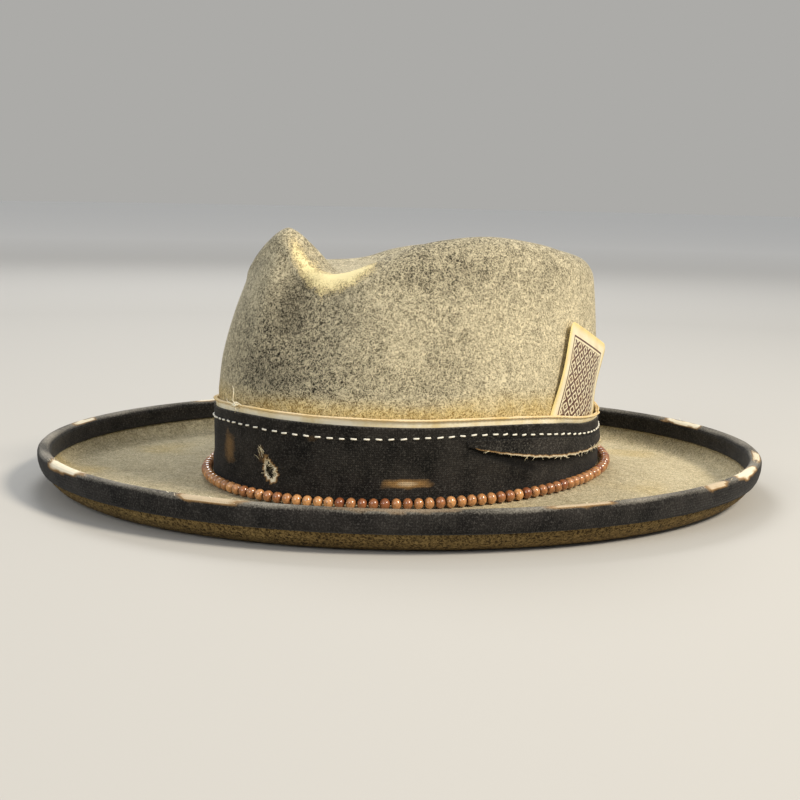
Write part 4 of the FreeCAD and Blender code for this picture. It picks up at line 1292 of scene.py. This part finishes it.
def lining_place(i, j):
    """Straight up behind the sweatband, then drawn in to the tip in small pleats."""
    bearing = 360 * i / LINING_COLUMNS
    up = j / LINING_ROWS
    angle = math.radians(bearing + 180)
    fold = 0.35 * (math.sin(math.radians(bearing * LINING_PLEATS)) - 1) * up
    reach = oval_reach(CROWN_LONG + LINING_FACE, CROWN_WIDE + LINING_FACE, angle)
    drawn = max(up - 0.2, 0) / 0.8
    height = 36.5 + 9.5 * up / 0.2 if up < 0.2 else 46 + (LINING_TOP - 46) * drawn
    return seated(angle, reach * (1 - (1 - LINING_SHARE) * drawn) + fold, height)


bm = laid_sheet(LINING_COLUMNS, LINING_ROWS, lining_place, stretch=(0.6, 0.052), inward=True)
lining_piece = finish_piece("gathered_lining", bm, satin, "hat", ["lining_side"], thick=0.25)


def tip_reach(angle, less=0.0):
    """Reach of the tip's edge, where the side is gathered to it."""
    long, wide = CROWN_LONG - TIP_IN, CROWN_WIDE - TIP_IN
    return oval_reach(long * LINING_SHARE - less, wide * LINING_SHARE - less, angle)


def tip_place(i, j):
    bearing = 360 * i / TIP_COLUMNS + 180
    angle = math.radians(bearing)
    share = 1 - j / TIP_ROWS
    sag = 0.25 * noise.noise(going_round(bearing, share * 4, 1))
    return seated(angle, tip_reach(angle, 0.9) * share, LINING_TOP + 0.75 + sag)


bm = laid_sheet(TIP_COLUMNS, TIP_ROWS, tip_place, stretch=(0.4, 0.07), inward=True)
tip_piece = finish_piece("lining_tip_satin", bm, satin, "hat", ["lining_tip"], thick=0.25)

bm = bmesh.new()
turns = [2 * math.pi * k / 260 for k in range(260)]
points = [seated(a, tip_reach(a) - 0.85, LINING_TOP - 0.1) for a in turns]
pull_thread(bm, points, 0.65 * MM, sides=8, closed=True)
finish_piece("lining_piping_cord", bm, ribbon, "hat", ["lining_piping"])

# %% Sweatband
SWEAT_FACE, SWEAT_LOW, SWEAT_HIGH = -3.55, 1.6, 43.6
SWEAT_COLUMNS, SWEAT_ROWS = 280, 16


def sweat_place(i, j):
    bearing = 360 * i / SWEAT_COLUMNS
    up = j / SWEAT_ROWS
    wave = 0.1 * noise.noise(going_round(bearing, 3, up))
    lip = 0.25 * (1 - ease(0, 0.06, 1 - up))
    return by_crown(bearing, SWEAT_FACE - 1.05 + wave - lip, SWEAT_LOW + (SWEAT_HIGH - SWEAT_LOW) * up)


bm = laid_sheet(SWEAT_COLUMNS, SWEAT_ROWS, sweat_place, stretch=(0.6, 0.042), inward=True)
finish_piece("leather_sweatband", bm, leather, "hat", ["sweatband"], thick=0.95)

bm = bmesh.new()
chance = random.Random(3)
for k in range(150):
    bearing = 360 * k / 150 + chance.uniform(-0.1, 0.1)
    out, on, up = out_from_crown(bearing, SWEAT_FACE)
    middle = by_crown(bearing, SWEAT_FACE - 1.1, SWEAT_LOW + 3.0)
    stitch = [(-1.3, 0, 0), (-0.91, 0, -0.16), (0.91, 0, -0.16), (1.3, 0, 0)]
    pull_thread(bm, laid_out(middle, (out, on, up), stitch), 0.2 * MM, sides=5)
finish_piece("sweatband_stitching", bm, cream, "hat")

bm = bmesh.new()
points = [by_crown(360 * k / 260, SWEAT_FACE - 0.5, 0.35) for k in range(260)]
pull_thread(bm, points, 1.0 * MM, sides=8, closed=True)
finish_piece("covered_reed", bm, ribbon, "hat", ["sweatband_reed"])


TAPE_COLUMNS, TAPE_ROWS = 8, 20


def tape_place(i, j):
    """A short tape over the sweatband's seam, 6.7 degrees wide and 36.4 mm tall, at the back."""
    return by_crown(180 + (i / TAPE_COLUMNS - 0.5) * 6.7, -5.25, 6.8 + 36.4 * j / TAPE_ROWS)


bm = laid_sheet(TAPE_COLUMNS, TAPE_ROWS, tape_place, stretch=(0.012, 0.036), closed=False, inward=True)
finish_piece("back_seam_tape", bm, ribbon, "hat", ["sweatband_seam_tape"], thick=0.4)

# %% Bow at the back of the sweatband
bm = bmesh.new()
bow_at, axes = by_crown(180, -5.9, 3.9), out_from_crown(180)
loop = [(0.6, 0.0, -0.3), (4.0, 1.3, -0.9), (8.5, 1.9, -0.9), (11.6, 0.9, -0.6), (11.2, -0.9, -0.4),
        (8.0, -1.9, -0.2), (4.0, -1.2, -0.3), (0.6, -0.2, -0.5)]
for side in (-1, 1):
    pull_thread(bm, laid_out(bow_at, axes, [(side * x, z, y) for x, z, y in loop]), 0.42 * MM)
middle = [(0, -1.6, -0.2), (0, -1.0, -1.0), (0, 0, -1.3), (0, 1.0, -1.0), (0, 1.6, -0.2)]
pull_thread(bm, laid_out(bow_at, axes, middle), 0.8 * MM, sides=8)
finish_piece("sweatband_back_bow", bm, ribbon, "hat", ["sweatband_bow"])

# %% [markdown]
# ## Frayed threads
# Where the cloth is worn through, its threads come loose: round the hole, along the torn end, and
# in tufts on the binding. Each is a short fine tube that curls as thread does.

# %% Loose threads


def any_way():
    return Vector([chance.uniform(-1, 1) for _ in range(3)])


def fray(bm, start, ahead, length, curl, radius=0.14):
    """One loose thread from start, heading ahead, in millimetres."""
    points, way = [start], ahead.normalized()
    for _ in range(4):
        way = (way + curl * chance.uniform(0.2, 0.5)).normalized()
        points.append(points[-1] + way * length / 4 * MM)
    pull_thread(bm, points, radius * MM, sides=4, taper=0.5)


chance = random.Random(23)
bm = bmesh.new()
# round the hole's rim, two thirds of them across it and the rest away from it
for k in range(46):
    turn = 2 * math.pi * k / 46 + chance.uniform(-0.1, 0.1)
    rise = math.sin(turn) * (HOLE_HALF_TALL - 0.2)
    along = math.cos(turn) * HOLE_HALF_WIDE * hole_narrow(rise)
    across = along * math.cos(HOLE_LEAN) - rise * math.sin(HOLE_LEAN)
    up_by = along * math.sin(HOLE_LEAN) + rise * math.cos(HOLE_LEAN)
    bearing = HOLE_AT + math.degrees(across / HOLE_REACH)
    out, on, up = out_from_crown(bearing, BAND_OUT)
    start = by_crown(bearing, BAND_OUT + 0.18, HOLE_HIGH + up_by)
    outward = on * math.cos(turn) + up * math.sin(turn)
    side = -outward if k % 3 else outward
    curl = any_way() + out * 0.2
    fray(bm, start, side + out * 0.35, chance.uniform(1.2, 2.6), curl)
# up from the hole
for k in range(14):
    bearing = 8.6 + chance.uniform(-1.4, 0.8)
    out, on, up = out_from_crown(bearing, BAND_OUT)
    start = by_crown(bearing, BAND_OUT + 0.22, 19 + chance.uniform(0, 5.5))
    curl = any_way() * 0.8
    fray(bm, start, up + on * chance.uniform(-0.6, 0.3) + out * 0.1, chance.uniform(1.6, 4.2), curl, 0.12)
finish_piece("hole_threads", bm, cream, "hat")

bm = bmesh.new()
# along the torn end's lower edge, and thicker below the card
for k in range(120):
    bearing = TUCK_FROM + 5 + (TUCK_SWEEP - 5) * chance.random() ** 0.75
    out, on, up = out_from_crown(bearing, TUCK_OUT)
    start = tuck_place((bearing - TUCK_FROM) / TUCK_SWEEP * TUCK_COLUMNS, 0.25)
    way = -up * chance.uniform(0.1, 1.0) + on * chance.choice((-1, 1)) * chance.uniform(0.5, 1.2) - out * 0.1
    fray(bm, start, way, chance.uniform(1.0, 3.4), any_way() * 0.6, 0.13)
for k in range(34):
    bearing = chance.uniform(124, 137)
    out, on, up = out_from_crown(bearing, TUCK_OUT)
    start = tuck_place((bearing - TUCK_FROM) / TUCK_SWEEP * TUCK_COLUMNS, 1.0)
    way = up * chance.uniform(-0.4, 0.9) + on * chance.uniform(-0.6, 0.6) + out * 0.6
    fray(bm, start, way, chance.uniform(1.2, 3.2), any_way())
finish_piece("torn_edge_threads", bm, cream, "hat")

bm = bmesh.new()
for middle, half, centre, width, strength in RUBBED:
    if strength < 0.7:
        continue
    for k in range(int(half * 3.4)):
        bearing = middle + chance.uniform(-0.8, 0.8) * half
        row = (centre + chance.uniform(-0.6, 0.6) * width) * binding_rows
        i = bearing / 360 * BINDING_COLUMNS
        start = binding_place(i, min(max(row, 2), binding_rows - 2))
        ahead = (binding_place(i + 1, row) - binding_place(i - 1, row)).normalized() * chance.choice((-1, 1))
        way = ahead + Vector((0, 0, chance.uniform(-0.05, 0.5)))
        fray(bm, start, way, chance.uniform(1.0, 3.0), any_way() * 0.5)
finish_piece("binding_tufts", bm, cream, "hat")
